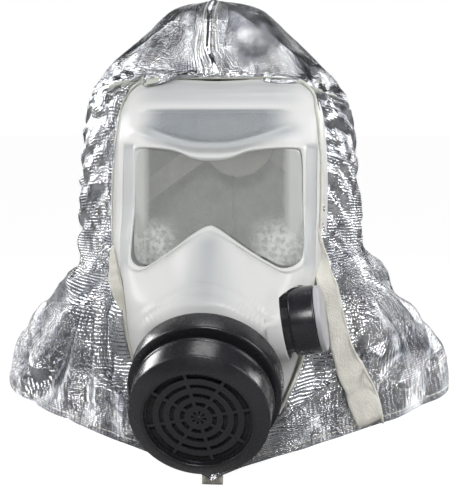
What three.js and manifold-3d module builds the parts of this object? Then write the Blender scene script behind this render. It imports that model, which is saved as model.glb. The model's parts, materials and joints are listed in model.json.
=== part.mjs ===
// Smoke hood: a two-panel fabric hood with a flared cape, sewn round a silicone full face mask that
// carries a wide visor, a screw-in filter canister at the chin and one exhalation valve on the cheek.
// Millimetres. +Z is up, the wearer faces -Y, and +X is the wearer's left.
// Everything is laid out from the middle of the visor, then moved so the origin is the bottom centre.
import * as THREE from 'three';
import { mergeVertices } from 'three/addons/utils/BufferGeometryUtils.js';
import Module from 'manifold-3d';

const wasm = await Module();
wasm.setup();

const GAP = 0.3;            // clearance between neighbouring pieces
const WIDE = 28;            // segments round a large turned piece
const SMALL = 16;           // segments round a small one
const CLOTH = 2;            // hood fabric with its lining
const RUBBER = 3.5;         // facepiece wall

// Hood: horizontal sections as [z, half width, front y, back y, roundness].
// Roundness 2 is an ellipse; lower values pull the sides out to a fold.
const HOOD_SECTIONS = [
  [158, 0, 92, 108, 2.0],
  [154, 27, 76, 130, 2.0],
  [147, 41, 62, 146, 2.0],
  [130, 58, 52, 165, 2.0],
  [101, 86, 42, 182, 2.1],
  [82, 100, 36, 189, 2.2],
  [45, 106, 26, 194, 2.2],
  [0, 109, 20, 195, 2.2],
  [-40, 115, 18, 186, 2.1],
  [-62, 126, 16, 176, 2.0],
  [-90, 150, 14, 171, 1.8],
  [-120, 169, 14, 170, 1.6],
  [-147, 176, 13, 174, 1.5],
  [-214, 180, 7, 180, 1.5],
];
const HOOD_TOP = 158;
const HOOD_BOTTOM = -214;
const HEM_LOW = -211;       // hem height at the front and back seams
const HEM_CORNER = [176, -145];

// Facepiece rim, right half from the top to the chin as [x, z].
const RIM = [
  [0, 93], [38, 94.5], [64, 91], [77, 76], [82, 50], [84, 20], [84, -10], [82.5, -35],
  [77, -60], [71, -85], [66, -110], [58, -135], [46, -158], [25, -176], [0, -181],
];
const RIM_STEPS = 44;       // points round the rim, shared by every piece that follows it
const RIM_BAND = 3;         // width between the facepiece rim and the fabric edge
const FACE_CENTRE = [0, -10];
const FACE_SHARES = [0.04, 0.25, 0.45, 0.62, 0.77, 0.89, 1];   // rings from the middle to the rim
// Seal flap inside the rim as [distance in from the rim, distance back].
const SEAL_FLAP = [[6, 14], [21, 14.5], [20, 12.5], [8, 11.5]];
// Centre line of the facepiece as [z, y].
const FACE_SPINE = [
  [94, 34], [86, 20], [74, 9], [60, 1.5], [48, -3], [36, 0], [0, 0], [-14, -3], [-28, -11],
  [-45, -21], [-60, -28.5], [-74, -33.5], [-85, -33], [-100, -27.8], [-128, -14], [-181, 12],
];
// Visor opening, right half from the top centre to the nose as [x, z].
const VISOR = [
  [0, 33], [14, 34.5], [26, 39], [40, 41], [58, 40.5], [62.5, 34], [65, 0], [67, -34],
  [62, -43], [53, -46.5], [42, -42], [28, -33], [14, -23], [5, -17.5], [0, -16],
];

// Filter port and canister: axis point, and direction out of the mask (down by PORT_TILT).
const PORT_TILT = 26;
const PORT_CENTRE = new THREE.Vector3(0, -26, -132.6);
const PORT_RADIUS = 57.5;
const PORT_BORE = 30;       // neck of the port ring, through the facepiece
const NUT_RADIUS = 37;
const SOCKET_RADIUS = 43;   // round the canister's spigot
const CANISTER_RADIUS = 52;
const CANISTER_WALL = 2.2;
const CANISTER_FRONT = 46;  // depth of the front rim along the axis
const GRILLE_RADIUS = 41;
const GRILLE_SLOTS = [[10.3, 13.5], [18, 21.2], [26, 28.9], [33.7, 38.5]];
const HUB_RADIUS = 6.7;
const SPOKES = 8;
const SPOKE_WIDTH = 2.4;
const SPOKE_TURN = 0.27;    // share of one spoke spacing that the pattern is turned by

// Nose and mouth cup: its rim on the face, right half from the nose to the chin as [x, z].
const CUP_RIM = [[0, -30], [18, -44], [34, -70], [36, -98], [24, -122], [0, -130]];
const CUP_RIM_DEPTH = 44;
const CUP_WALL = 2;
const CHECK_DISC = 7.5;     // radius of the two small check valve discs

// Exhalation valve: axis point at the mask wall, pointing sideways and a little up.
const VALVE_TILT = 9;
const VALVE_CENTRE = new THREE.Vector3(58, -4, -88);
const VALVE_BORE = 20;
const VALVE_POCKET = 26.5;  // recess in the facepiece round the valve cover
const COVER_RADIUS = 25.5;
const VENT_TURN = -Math.PI / 2;

// Head harness: [front height, back height, x and y beside the rim] of the upper and lower straps.
const STRAP_LEVELS = { upper: [42, 84, 87.5, 69], lower: [-32, 44, 88.5, 60] };
const STRAP_END = [22, 170];      // x and y where it meets the head pad
const STRAP_WIDTH = 18;
const STRAP_THICKNESS = 1.4;
const PAD_RADIUS = 34;

// Sewn parts: seam tapes, neck elastic, lining strip and hem tab.
const SEAM_WIDTH = 5;
const NECK_HEIGHT = -50;
const ELASTIC_RADIUS = 2;
const LINING_WIDTH = 11;
const LINING_FROM = [96, -42];
const LINING_RUN = [16, -100];
const TAB_SIZE = [13, 1.2, 16];

const degrees = THREE.MathUtils.degToRad;
const portAxis = new THREE.Vector3(0, -Math.cos(degrees(PORT_TILT)), -Math.sin(degrees(PORT_TILT)));
const valveAxis = new THREE.Vector3(Math.cos(degrees(VALVE_TILT)), 0, Math.sin(degrees(VALVE_TILT)));
const group = new THREE.Group();

const MATERIALS = {
  foil: { color: 0xb9bcc2, metalness: 0.8, roughness: 0.35 },
  cream: { color: 0xdfd9c6, metalness: 0, roughness: 0.9 },
  silicone: { color: 0xd6dadb, metalness: 0, roughness: 0.4 },
  lens: { color: 0xa9b6b8, metalness: 0, roughness: 0.05, transparent: true, opacity: 0.35 },
  black: { color: 0x24242a, metalness: 0, roughness: 0.35 },
  rubber: { color: 0x303034, metalness: 0, roughness: 0.8 },
  grey: { color: 0xbfc0c3, metalness: 0, roughness: 0.4 },
  charcoal: { color: 0x1b1b1b, metalness: 0, roughness: 1 },
  white: { color: 0xeeece4, metalness: 0, roughness: 0.9 },
  steel: { color: 0xa5a8ab, metalness: 1, roughness: 0.35 },
};

// ---- general helpers ----

// Smooth value at x through rows of [x, ...values] sorted by x, either way round.
function along(rows, x, column = 1) {
  const sorted = rows[0][0] < rows[rows.length - 1][0] ? rows : [...rows].reverse();
  const last = sorted.length - 1;
  if (x <= sorted[0][0]) return sorted[0][column];
  if (x >= sorted[last][0]) return sorted[last][column];
  let i = 0;
  while (sorted[i + 1][0] < x) i += 1;
  const slope = (k) => (sorted[k + 1][column] - sorted[k][column]) / (sorted[k + 1][0] - sorted[k][0]);
  const tangent = (k) => {
    if (k === 0) return slope(0);
    if (k === last) return slope(last - 1);
    const [before, after] = [slope(k - 1), slope(k)];
    return before * after <= 0 ? 0 : (2 * before * after) / (before + after);
  };
  const width = sorted[i + 1][0] - sorted[i][0];
  const t = (x - sorted[i][0]) / width;
  const [t2, t3] = [t * t, t * t * t];
  return (2 * t3 - 3 * t2 + 1) * sorted[i][column] + (t3 - 2 * t2 + t) * width * tangent(i)
    + (3 * t2 - 2 * t3) * sorted[i + 1][column] + (t3 - t2) * width * tangent(i + 1);
}

// Closed smooth outline in the XZ plane from its right half, as a function of t in 0..1.
function mirroredOutline(half) {
  const left = half.slice(1, -1).reverse().map(([x, z]) => [-x, z]);
  const points = [...half, ...left].map(([x, z]) => new THREE.Vector3(x, 0, z));
  const curve = new THREE.CatmullRomCurve3(points, true, 'centripetal');
  return (t) => curve.getPointAt(((t % 1) + 1) % 1);
}

// The same outline moved outwards by a distance.
function offsetOutline(outline, distance) {
  const step = 0.002;
  return (t) => {
    const run = outline(t + step).sub(outline(t - step)).normalize();
    return outline(t).add(new THREE.Vector3(-run.z, 0, run.x).multiplyScalar(distance));
  };
}

function cleaned(geometry) {
  geometry.deleteAttribute('normal');
  geometry.deleteAttribute('uv');
  const merged = mergeVertices(geometry, 1e-4);
  const index = merged.getIndex().array;
  const kept = [];
  for (let i = 0; i < index.length; i += 3) {
    const [a, b, c] = [index[i], index[i + 1], index[i + 2]];
    if (a !== b && b !== c && c !== a) kept.push(a, b, c);
  }
  const position = merged.getAttribute('position');
  const [pa, pb, pc] = [new THREE.Vector3(), new THREE.Vector3(), new THREE.Vector3()];
  let volume = 0;
  for (let i = 0; i < kept.length; i += 3) {
    pa.fromBufferAttribute(position, kept[i]);
    pb.fromBufferAttribute(position, kept[i + 1]);
    pc.fromBufferAttribute(position, kept[i + 2]);
    volume += pa.dot(pb.cross(pc));
  }
  if (volume < 0) {
    for (let i = 0; i < kept.length; i += 3) [kept[i], kept[i + 1]] = [kept[i + 1], kept[i]];
  }
  const result = new THREE.BufferGeometry();
  result.setAttribute('position', position);
  result.setIndex(kept);
  return result;
}

function toSolid(geometry) {
  const clean = cleaned(geometry);
  const mesh = new wasm.Mesh({
    numProp: 3,
    vertProperties: new Float32Array(clean.getAttribute('position').array),
    triVerts: new Uint32Array(clean.getIndex().array),
  });
  mesh.merge();
  return new wasm.Manifold(mesh);
}

function toGeometry(solid) {
  const mesh = solid.getMesh();
  const geometry = new THREE.BufferGeometry();
  geometry.setAttribute('position', new THREE.BufferAttribute(new Float32Array(mesh.vertProperties), 3));
  geometry.setIndex(new THREE.BufferAttribute(new Uint32Array(mesh.triVerts), 1));
  return geometry;
}

function add(name, shape, look) {
  const geometry = cleaned(shape.isBufferGeometry ? shape : toGeometry(shape));
  geometry.computeVertexNormals();
  const material = new THREE.MeshStandardMaterial({ ...MATERIALS[look], flatShading: true });
  const mesh = new THREE.Mesh(geometry, material);
  mesh.name = name;
  group.add(mesh);
}

// Body through a row of equal closed rings. ends: 'fan' closes each end to its middle, 'pairs' bridges
// the two halves of each end ring, 'wrap' joins the last ring to the first.
function loft(rings, ends) {
  const count = rings[0].length;
  const points = rings.flat();
  const index = [];
  const steps = ends === 'wrap' ? rings.length : rings.length - 1;
  for (let r = 0; r < steps; r += 1) {
    const near = r * count;
    const far = ((r + 1) % rings.length) * count;
    for (let i = 0; i < count; i += 1) {
      const j = (i + 1) % count;
      index.push(near + i, near + j, far + j, near + i, far + j, far + i);
    }
  }
  if (ends === 'fan') {
    for (const [start, flip] of [[0, false], [(rings.length - 1) * count, true]]) {
      const middle = new THREE.Vector3();
      for (let i = 0; i < count; i += 1) middle.addScaledVector(points[start + i], 1 / count);
      points.push(middle);
      for (let i = 0; i < count; i += 1) {
        const [a, b] = [start + i, start + ((i + 1) % count)];
        index.push(...(flip ? [a, b, points.length - 1] : [b, a, points.length - 1]));
      }
    }
  }
  if (ends === 'pairs') {
    for (const [start, flip] of [[0, false], [(rings.length - 1) * count, true]]) {
      for (let i = 0; i < count / 2 - 1; i += 1) {
        const [a, b] = [start + i, start + i + 1];
        const [c, d] = [start + count - 2 - i, start + count - 1 - i];
        index.push(...(flip ? [a, b, c, a, c, d] : [b, a, c, c, a, d]));
      }
    }
  }
  const geometry = new THREE.BufferGeometry();
  const numbers = points.flatMap((p) => [p.x, p.y, p.z]);
  geometry.setAttribute('position', new THREE.Float32BufferAttribute(numbers, 3));
  geometry.setIndex(index);
  return geometry;
}

// Turned body: profile of [radius, distance along the axis].
function turned(profile, origin, axis, segments) {
  const points = profile.map(([r, s]) => new THREE.Vector2(r, s));
  const geometry = new THREE.LatheGeometry(points, segments);
  const turn = new THREE.Quaternion().setFromUnitVectors(new THREE.Vector3(0, 1, 0), axis);
  geometry.applyQuaternion(turn);
  geometry.translate(origin.x, origin.y, origin.z);
  return geometry;
}

function tube(inner, outer, from, to, origin, axis, segments) {
  const profile = [[inner, from], [outer, from], [outer, to], [inner, to], [inner, from]];
  return turned(profile, origin, axis, segments);
}

function disc(radius, from, to, origin, axis, segments) {
  return turned([[0, from], [radius, from], [radius, to], [0, to]], origin, axis, segments);
}

// Box on an axis: length along the radial direction at an angle, width across, between two depths.
function spoke(length, width, from, to, angle, origin, axis) {
  const geometry = new THREE.BoxGeometry(length, to - from, width);
  geometry.translate(length / 2, (from + to) / 2, 0);
  geometry.rotateY(angle);
  geometry.applyQuaternion(new THREE.Quaternion().setFromUnitVectors(new THREE.Vector3(0, 1, 0), axis));
  geometry.translate(origin.x, origin.y, origin.z);
  return geometry;
}

// ---- hood ----

function hoodSection(z) {
  return [1, 2, 3, 4].map((column) => along(HOOD_SECTIONS, z, column));
}

// Point on the hood at a height. turn is 0 at the front seam, 90 degrees at the side and 180 at the
// back. inset moves inwards.
function hoodPoint(z, turn, side, inset) {
  const [half, front, back, round] = hoodSection(z);
  const width = Math.max(half - inset, 0);
  const depth = Math.max((back - front) / 2 - inset, 1);
  const middle = (front + back) / 2;
  const power = 2 / round;
  const x = width * Math.sin(turn) ** power;
  const y = middle - depth * Math.sign(Math.cos(turn)) * Math.abs(Math.cos(turn)) ** power;
  return new THREE.Vector3(side * (x + GAP / 2), y, z);
}

function hoodFrontY(x, z) {
  const [half, front, back, round] = hoodSection(z);
  const share = Math.min(Math.abs(x) / Math.max(half, 1), 1);
  return (front + back) / 2 - ((back - front) / 2) * (1 - share ** round) ** (1 / round);
}

function hoodPanel(side) {
  const rows = 22;
  const columns = 15;
  const rings = [];
  for (let r = 0; r <= rows; r += 1) {
    const drop = (r / rows) ** 1.25;
    const z = HOOD_TOP + (HOOD_BOTTOM - HOOD_TOP) * drop;
    const lower = CLOTH * THREE.MathUtils.clamp((z - 60) / 90, 0, 1);
    const ring = [];
    for (let c = 0; c <= columns; c += 1) ring.push(hoodPoint(z, (Math.PI * c) / columns, side, 0));
    for (let c = columns; c >= 0; c -= 1) {
      const point = hoodPoint(z, (Math.PI * c) / columns, side, CLOTH);
      ring.push(point.setZ(z - lower));
    }
    rings.push(ring);
  }
  return toSolid(loft(rings, 'pairs')).subtract(faceCutter(RIM_BAND)).subtract(hemCutter());
}

function faceCutter(offset) {
  const edge = offsetOutline(mirroredOutline(RIM), offset);
  const ringAt = (y) => Array.from({ length: RIM_STEPS }, (_, i) => edge(i / RIM_STEPS).setY(y));
  return toSolid(loft([ringAt(-120), ringAt(95)], 'fan'));
}

// Everything below the two straight hem lines that meet at the seams.
function hemCutter() {
  const shape = new THREE.Shape();
  const [x, z] = HEM_CORNER;
  const outX = 2 * x;
  const outZ = HEM_LOW + ((z - HEM_LOW) * outX) / x;
  shape.moveTo(0, HEM_LOW);
  shape.lineTo(outX, outZ);
  shape.lineTo(outX, HOOD_BOTTOM - 50);
  shape.lineTo(-outX, HOOD_BOTTOM - 50);
  shape.lineTo(-outX, outZ);
  const geometry = new THREE.ExtrudeGeometry(shape, { depth: 400, bevelEnabled: false });
  geometry.rotateX(Math.PI / 2);
  geometry.translate(0, 300, 0);
  return toSolid(geometry);
}

// Tape lying on a seam: points along it, with the outward direction at each.
function tape(points, outward, width, thickness) {
  const rings = points.map((point, i) => {
    const before = points[Math.max(i - 1, 0)];
    const after = points[Math.min(i + 1, points.length - 1)];
    const run = after.clone().sub(before).normalize();
    const out = outward(point, i).clone();
    out.addScaledVector(run, -out.dot(run)).normalize();
    const across = run.clone().cross(out).multiplyScalar(width / 2);
    const top = out.multiplyScalar(thickness);
    return [
      point.clone().sub(across), point.clone().add(across),
      point.clone().add(across).add(top), point.clone().sub(across).add(top),
    ];
  });
  return loft(rings, 'pairs');
}

// Seam line in the plane x = 0, from a front height over a range of sections.
function seamPoints(from, to, steps, back) {
  return Array.from({ length: steps + 1 }, (_, i) => {
    const z = from + ((to - from) * i) / steps;
    const y = hoodSection(z)[back ? 2 : 1];
    return new THREE.Vector3(0, y, z);
  });
}

function hoodParts() {
  add('hood_left_panel', hoodPanel(1), 'foil');
  add('hood_right_panel', hoodPanel(-1), 'foil');
  const middle = new THREE.Vector3(0, 110, 30);
  const outward = (point) => point.clone().sub(middle).setX(0).normalize();
  const lifted = (points) => points.map((p) => p.clone().addScaledVector(outward(p), GAP + 0.5));
  const crown = [...seamPoints(98, 157.5, 9, false), ...seamPoints(157.5, 104, 8, true)];
  add('crown_seam', tape(lifted(crown), outward, SEAM_WIDTH, 1.8), 'foil');
  const rear = new THREE.Vector3(0, 1, 0);
  const behind = seamPoints(98, -205, 14, true).map((p) => p.clone().addScaledVector(rear, GAP + 1));
  add('back_seam', tape(behind, () => rear, SEAM_WIDTH, 1.4), 'foil');
  const tab = new THREE.BoxGeometry(...TAB_SIZE);
  tab.translate(0, hoodSection(HEM_LOW)[1] - TAB_SIZE[1], HEM_LOW + 5);
  add('hem_tab', tab, 'cream');
}

function faceBinding() {
  const inner = offsetOutline(mirroredOutline(RIM), GAP);
  const outer = offsetOutline(mirroredOutline(RIM), RIM_BAND - GAP);
  const rings = Array.from({ length: RIM_STEPS }, (_, i) => {
    const [near, far] = [inner(i / RIM_STEPS), outer(i / RIM_STEPS)];
    const y = hoodFrontY(far.x, far.z);
    const [front, back] = [y - 2, y + 4];
    const corners = [[near, front], [far, front], [far, back], [near, back]];
    return corners.map(([point, depth]) => point.clone().setY(depth));
  });
  add('face_opening_binding', loft(rings, 'wrap'), 'cream');
}

// Elastic cord gathered inside the fabric at neck height.
function neckElastic() {
  const z = NECK_HEIGHT;
  const radius = ELASTIC_RADIUS;
  const count = 48;
  const rings = Array.from({ length: count }, (_, i) => {
    const turn = (2 * Math.PI * i) / count;
    const side = turn <= Math.PI ? 1 : -1;
    const centre = hoodPoint(z, side > 0 ? turn : 2 * Math.PI - turn, side, 0);
    centre.x -= (side * GAP) / 2;
    const out = new THREE.Vector3(centre.x, centre.y - 97, 0).normalize();
    centre.addScaledVector(out, -(CLOTH + radius + 3));
    return Array.from({ length: 6 }, (_, k) => {
      const a = (2 * Math.PI * k) / 6;
      const point = centre.clone().addScaledVector(out, radius * Math.cos(a));
      return point.setZ(point.z + radius * Math.sin(a));
    });
  });
  const cord = toSolid(loft(rings, 'wrap'));
  const front = new THREE.BoxGeometry(240, 70, 30);
  front.translate(0, 45, z);
  const faceSide = toSolid(front);
  add('neck_elastic', cord.subtract(faceSide), 'white');
}

// Lining strip turned out along the left edge of the facepiece.
function liningStrip() {
  const points = Array.from({ length: 10 }, (_, i) => {
    const t = i / 9;
    const x = LINING_FROM[0] + LINING_RUN[0] * t;
    const z = LINING_FROM[1] + LINING_RUN[1] * t;
    return new THREE.Vector3(x, hoodFrontY(x, z) - 4.2 - 1.2 * Math.sin(Math.PI * t), z);
  });
  const forward = new THREE.Vector3(0.35, -1, 0.1).normalize();
  add('lining_strip', tape(points, () => forward, LINING_WIDTH, 1.2), 'cream');
}

// ---- facepiece ----

const rimOutline = mirroredOutline(RIM);

function facePoint(t, share, shrink, push) {
  const rim = rimOutline(t);
  const [cx, cz] = FACE_CENTRE;
  const reach = new THREE.Vector2(rim.x - cx, rim.z - cz);
  const scale = share * (1 - shrink / reach.length());
  const x = cx + reach.x * scale;
  const z = cz + reach.y * scale;
  const flatness = rim.z > 0 ? 3.4 : 3.4 + 3 * Math.min(-rim.z / 120, 1);
  const rise = 1 - (1 - share ** flatness) ** 0.75;
  const edge = hoodFrontY(rim.x, rim.z) + 1;
  return new THREE.Vector3(x, along(FACE_SPINE, z) * (1 - rise) + edge * rise + push, z);
}

function faceShell(share, count, shrink, push) {
  return Array.from({ length: count }, (_, i) => facePoint(i / count, share, shrink, push));
}

// The silicone wall with a flap at the rim that turns in to seal on the face.
function faceBody() {
  const count = RIM_STEPS;
  const outer = FACE_SHARES.map((share) => faceShell(share, count, 0, 0));
  const seal = SEAL_FLAP.map(([shrink, push]) => faceShell(1, count, shrink, push));
  const inner = FACE_SHARES.map((share) => faceShell(share, count, RUBBER, RUBBER)).reverse();
  return toSolid(loft([...outer, ...seal, ...inner], 'fan'));
}

// Everything behind the front surface of the facepiece.
function faceFilled() {
  const outer = FACE_SHARES.map((share) => faceShell(share, RIM_STEPS, 0, 0));
  return toSolid(loft([...outer, faceShell(1, RIM_STEPS, 0, 30)], 'fan'));
}

function visorPrism(offset) {
  const edge = offsetOutline(mirroredOutline(VISOR), offset);
  const count = 36;
  const ringAt = (y) => Array.from({ length: count }, (_, i) => edge(i / count).setY(y));
  return toSolid(loft([ringAt(-60), ringAt(40)], 'fan'));
}

function visorLens() {
  const shares = [0.04, 0.4, 0.7, 1];
  const count = 36;
  const front = shares.map((share) => faceShell(share, count, 0, 1.2));
  const back = shares.map((share) => faceShell(share, count, 0, 3.4)).reverse();
  return toSolid(loft([...front, ...back], 'fan')).intersect(visorPrism(-GAP));
}

function faceParts() {
  const bossRadius = VALVE_POCKET + 2.5;
  const portBore = toSolid(disc(PORT_BORE + GAP, -40, 20, PORT_CENTRE, portAxis, WIDE));
  const nutRecess = toSolid(disc(NUT_RADIUS + 1, -40, -19 + GAP, PORT_CENTRE, portAxis, WIDE));
  const boss = toSolid(tube(VALVE_BORE + GAP, bossRadius, -13, -3, VALVE_CENTRE, valveAxis, SMALL));
  const pocketWall = toSolid(tube(VALVE_POCKET, bossRadius, -4, 22, VALVE_CENTRE, valveAxis, SMALL));
  const valveBore = toSolid(disc(VALVE_BORE + GAP, -34, 6, VALVE_CENTRE, valveAxis, SMALL));
  const pocket = toSolid(disc(VALVE_POCKET, -3, 60, VALVE_CENTRE, valveAxis, SMALL));
  const filled = faceFilled();
  let shell = faceBody().add(boss.intersect(filled)).add(pocketWall.intersect(filled));
  for (const hole of [visorPrism(0), portBore, nutRecess, valveBore, pocket]) shell = shell.subtract(hole);
  add('facepiece', shell, 'silicone');
  add('visor_lens', visorLens(), 'lens');
}

// Point on the nose and mouth cup behind the port: share 0 is at the port, 1 on the wearer's face.
function cupPoint(t, share, grow) {
  const rim = offsetOutline(mirroredOutline(CUP_RIM), grow)(t).setY(CUP_RIM_DEPTH);
  const angle = 2 * Math.PI * t;
  const base = PORT_CENTRE.clone().addScaledVector(portAxis, -25);
  const up = new THREE.Vector3(0, portAxis.z, -portAxis.y);
  const radius = PORT_BORE - 1 + grow;
  base.addScaledVector(new THREE.Vector3(1, 0, 0), radius * Math.sin(angle));
  base.addScaledVector(up, radius * Math.cos(angle));
  const point = base.lerp(rim, share);
  const bulge = (10 + grow) * Math.sin(Math.PI * share) * 0.6;
  return point.add(new THREE.Vector3(bulge * Math.sin(angle), 0, 0));
}

// The cup as one ring of closed wall sections, with a seat for a check valve on each side.
function halfMask() {
  const count = 24;
  const shares = [0, 0.3, 0.65, 1];
  const ringOf = (share, grow) => Array.from({ length: count }, (_, i) => cupPoint(i / count, share, grow));
  const outside = shares.map((share) => ringOf(share, 0));
  const inside = shares.map((share) => ringOf(share, -CUP_WALL)).reverse();
  let cup = toSolid(loft([...outside, ...inside], 'wrap'));
  for (const side of [1, -1]) {
    const { origin, axis } = checkValveFrame(side);
    cup = cup.add(toSolid(disc(CHECK_DISC + 2, -2.5, 0.6, origin, axis, SMALL)));
    cup = cup.subtract(toSolid(disc(CHECK_DISC + 1.5, -14, -2.5, origin, axis, SMALL)));
    cup = cup.subtract(toSolid(disc(CHECK_DISC - 2, -14, 14, origin, axis, SMALL)));
    const pin = [[0, -6.4], [2.2, -6.4], [2.2, -5.6], [1, -5.6], [1, 0], [0, 0]];
    cup = cup.add(toSolid(spoke(8, 1.6, -2.5, 0.6, 0, origin, axis)));
    cup = cup.add(toSolid(spoke(8, 1.6, -2.5, 0.6, Math.PI, origin, axis)));
    cup = cup.add(toSolid(turned(pin, origin, axis, SMALL / 2)));
  }
  add('inner_half_mask', cup, 'silicone');
  for (const [name, side] of [['check_disc_left', 1], ['check_disc_right', -1]]) {
    const { origin, axis } = checkValveFrame(side);
    add(name, tube(1.5, CHECK_DISC, -3.6, -2.8, origin, axis, SMALL), 'rubber');
  }
}

function checkValveFrame(side) {
  const t = side > 0 ? 0.27 : 0.73;
  const origin = cupPoint(t, 0.5, 0);
  return { origin, axis: new THREE.Vector3(side, 0, 0) };
}

// ---- filter port and canister ----

function portParts() {
  const at = (profile, segments) => turned(profile, PORT_CENTRE, portAxis, segments);
  const [outside, neck] = [PORT_RADIUS, PORT_BORE - 4];
  const ring = [
    [neck, -23], [PORT_BORE, -23], [PORT_BORE, -10], [outside - 1.5, -10], [outside, -8.5],
    [outside, 8.5], [outside - 1.5, 10], [SOCKET_RADIUS, 10], [SOCKET_RADIUS, -3], [neck, -3], [neck, -23],
  ];
  add('port_ring', at(ring, WIDE), 'black');
  add('port_nut', tube(PORT_BORE + GAP, NUT_RADIUS, -22.6, -19, PORT_CENTRE, portAxis, WIDE), 'black');
  let seat = toSolid(tube(19, neck - GAP, -8, -5, PORT_CENTRE, portAxis, WIDE));
  for (let i = 0; i < 4; i += 1) {
    seat = seat.add(toSolid(spoke(20, SPOKE_WIDTH, -8, -6, (Math.PI * i) / 2, PORT_CENTRE, portAxis)));
  }
  const pin = [[0, -13], [4, -13], [4, -12.2], [1.8, -12.2], [1.8, -6], [0, -6]];
  add('inhalation_seat', seat.add(toSolid(at(pin, SMALL / 2))), 'black');
  add('inhalation_disc', tube(2.4, 23, -9.3, -8.3, PORT_CENTRE, portAxis, WIDE), 'rubber');
  add('port_gasket', tube(33, 41, -3 + GAP, -GAP, PORT_CENTRE, portAxis, WIDE), 'rubber');
}

function canisterBody() {
  const r = CANISTER_RADIUS;
  const within = r - CANISTER_WALL;
  const spigot = SOCKET_RADIUS - 1;
  const profile = [
    [24, 0], [spigot, 0], [spigot, 14], [spigot + 3, 17], [r + 0.9, 17], [r + 0.9, 19.5], [r, 20],
    [r, 39], [within, 39], [within, 21], [spigot - 4, 21], [spigot - 4, 2.5], [24, 2.5], [24, 0],
  ];
  add('canister_body', turned(profile, PORT_CENTRE, portAxis, WIDE), 'black');
}

// Front cover: a cone up to a thin rim round a recessed grille of slotted rings.
function canisterCover() {
  const r = CANISTER_RADIUS;
  const profile = [
    [0, 40], [r - 6, 40], [r - 6, 39 + GAP], [r, 39 + GAP], [r, 39.8],
    [GRILLE_RADIUS + 0.9, CANISTER_FRONT], [GRILLE_RADIUS - 1.4, CANISTER_FRONT],
    [GRILLE_RADIUS - 1.6, 42.2], [0, 42.2],
  ];
  let spokes = toSolid(disc(HUB_RADIUS, 38, 48, PORT_CENTRE, portAxis, SMALL / 2));
  for (let i = 0; i < SPOKES; i += 1) {
    const angle = (2 * Math.PI * (i + SPOKE_TURN)) / SPOKES;
    const bar = spoke(GRILLE_RADIUS + 2, SPOKE_WIDTH, 38, 48, angle, PORT_CENTRE, portAxis);
    spokes = spokes.add(toSolid(bar));
  }
  let cover = toSolid(turned(profile, PORT_CENTRE, portAxis, WIDE));
  for (const [inner, outer] of GRILLE_SLOTS) {
    const slots = toSolid(tube(inner, outer, 38, 48, PORT_CENTRE, portAxis, SMALL)).subtract(spokes);
    cover = cover.subtract(slots);
  }
  add('canister_cover', cover, 'black');
}

function perforatedPlate(name, radius, from, to, look) {
  let plate = toSolid(disc(radius, from, to, PORT_CENTRE, portAxis, WIDE));
  const holes = 6;
  const up = new THREE.Vector3(0, portAxis.z, -portAxis.y);
  for (let i = 0; i < holes; i += 1) {
    const angle = (2 * Math.PI * i) / holes;
    const centre = PORT_CENTRE.clone().addScaledVector(up, 28 * Math.sin(angle));
    centre.x += 28 * Math.cos(angle);
    plate = plate.subtract(toSolid(disc(7, from - 1, to + 1, centre, portAxis, SMALL / 2)));
  }
  add(name, plate, look);
}

function canisterParts() {
  canisterBody();
  canisterCover();
  const within = CANISTER_RADIUS - CANISTER_WALL - GAP;
  perforatedPlate('rear_plate', within, 21.3, 22.3, 'steel');
  add('sorbent_bed', disc(within, 22.6, 30.5, PORT_CENTRE, portAxis, WIDE), 'charcoal');
  perforatedPlate('front_plate', within, 30.8, 31.8, 'steel');
  add('particulate_filter', disc(within, 32.1, 38.4, PORT_CENTRE, portAxis, WIDE), 'white');
  add('front_screen', disc(CANISTER_RADIUS - 7, 38.8, 39.6, PORT_CENTRE, portAxis, WIDE), 'charcoal');
}

// ---- exhalation valve ----

function valveParts() {
  const at = (profile) => turned(profile, VALVE_CENTRE, valveAxis, SMALL);
  const bore = VALVE_BORE;
  const seatTube = [
    [16, -12], [bore, -12], [bore, -2.7], [bore + 2.5, -2.7], [bore + 2.5, 4], [17.6, 4], [17.6, 1.5],
    [16, 1.5], [16, -12],
  ];
  let seat = toSolid(at(seatTube));
  for (let i = 0; i < 4; i += 1) {
    seat = seat.add(toSolid(spoke(17, 2, 0, 1.5, (Math.PI * i) / 2, VALVE_CENTRE, valveAxis)));
  }
  const pin = [[0, 0], [1.5, 0], [1.5, 6.4], [3.2, 6.4], [3.2, 7.2], [0, 7.2]];
  seat = seat.add(toSolid(turned(pin, VALVE_CENTRE, valveAxis, SMALL / 2)));
  add('exhalation_seat', seat, 'black');
  add('exhalation_disc', tube(2.1, 17, 1.8, 2.8, VALVE_CENTRE, valveAxis, SMALL), 'rubber');
  const r = COVER_RADIUS;
  const cover = [
    [r - 2.1, 4.3], [r - 0.9, 4.3], [r, 5.2], [r, 22.6], [r - 0.7, 23.4], [0, 23.4], [0, 21.6],
    [r - 2.1, 21.6], [r - 2.1, 4.3],
  ];
  let shell = toSolid(at(cover));
  for (let i = 0; i < 3; i += 1) {
    const slot = spoke(32, 9, 9, 15, Math.PI + 0.9 * (i - 1) + VENT_TURN, VALVE_CENTRE, valveAxis);
    shell = shell.subtract(toSolid(slot));
  }
  add('exhalation_cover', shell, 'black');
  const cap = [[0, 23.7], [r - 1.1, 23.7], [r - 0.7, 24.2], [r - 0.7, 27], [r - 1.7, 28], [0, 28]];
  add('exhalation_cap', at(cap), 'grey');
}

// ---- head harness ----

function strapPath(level, side) {
  const [front, back, startX, startY] = STRAP_LEVELS[level];
  const steps = 12;
  return Array.from({ length: steps + 1 }, (_, i) => {
    const turn = ((Math.PI / 2) * i) / steps;
    const x = STRAP_END[0] + (startX - STRAP_END[0]) * Math.cos(turn);
    const y = startY + (STRAP_END[1] - startY) * Math.sin(turn);
    return new THREE.Vector3(side * x, y, front + ((back - front) * i) / steps);
  });
}

function outwardOf(point) {
  return new THREE.Vector3(point.x, point.y - 110, 0).normalize();
}

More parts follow.
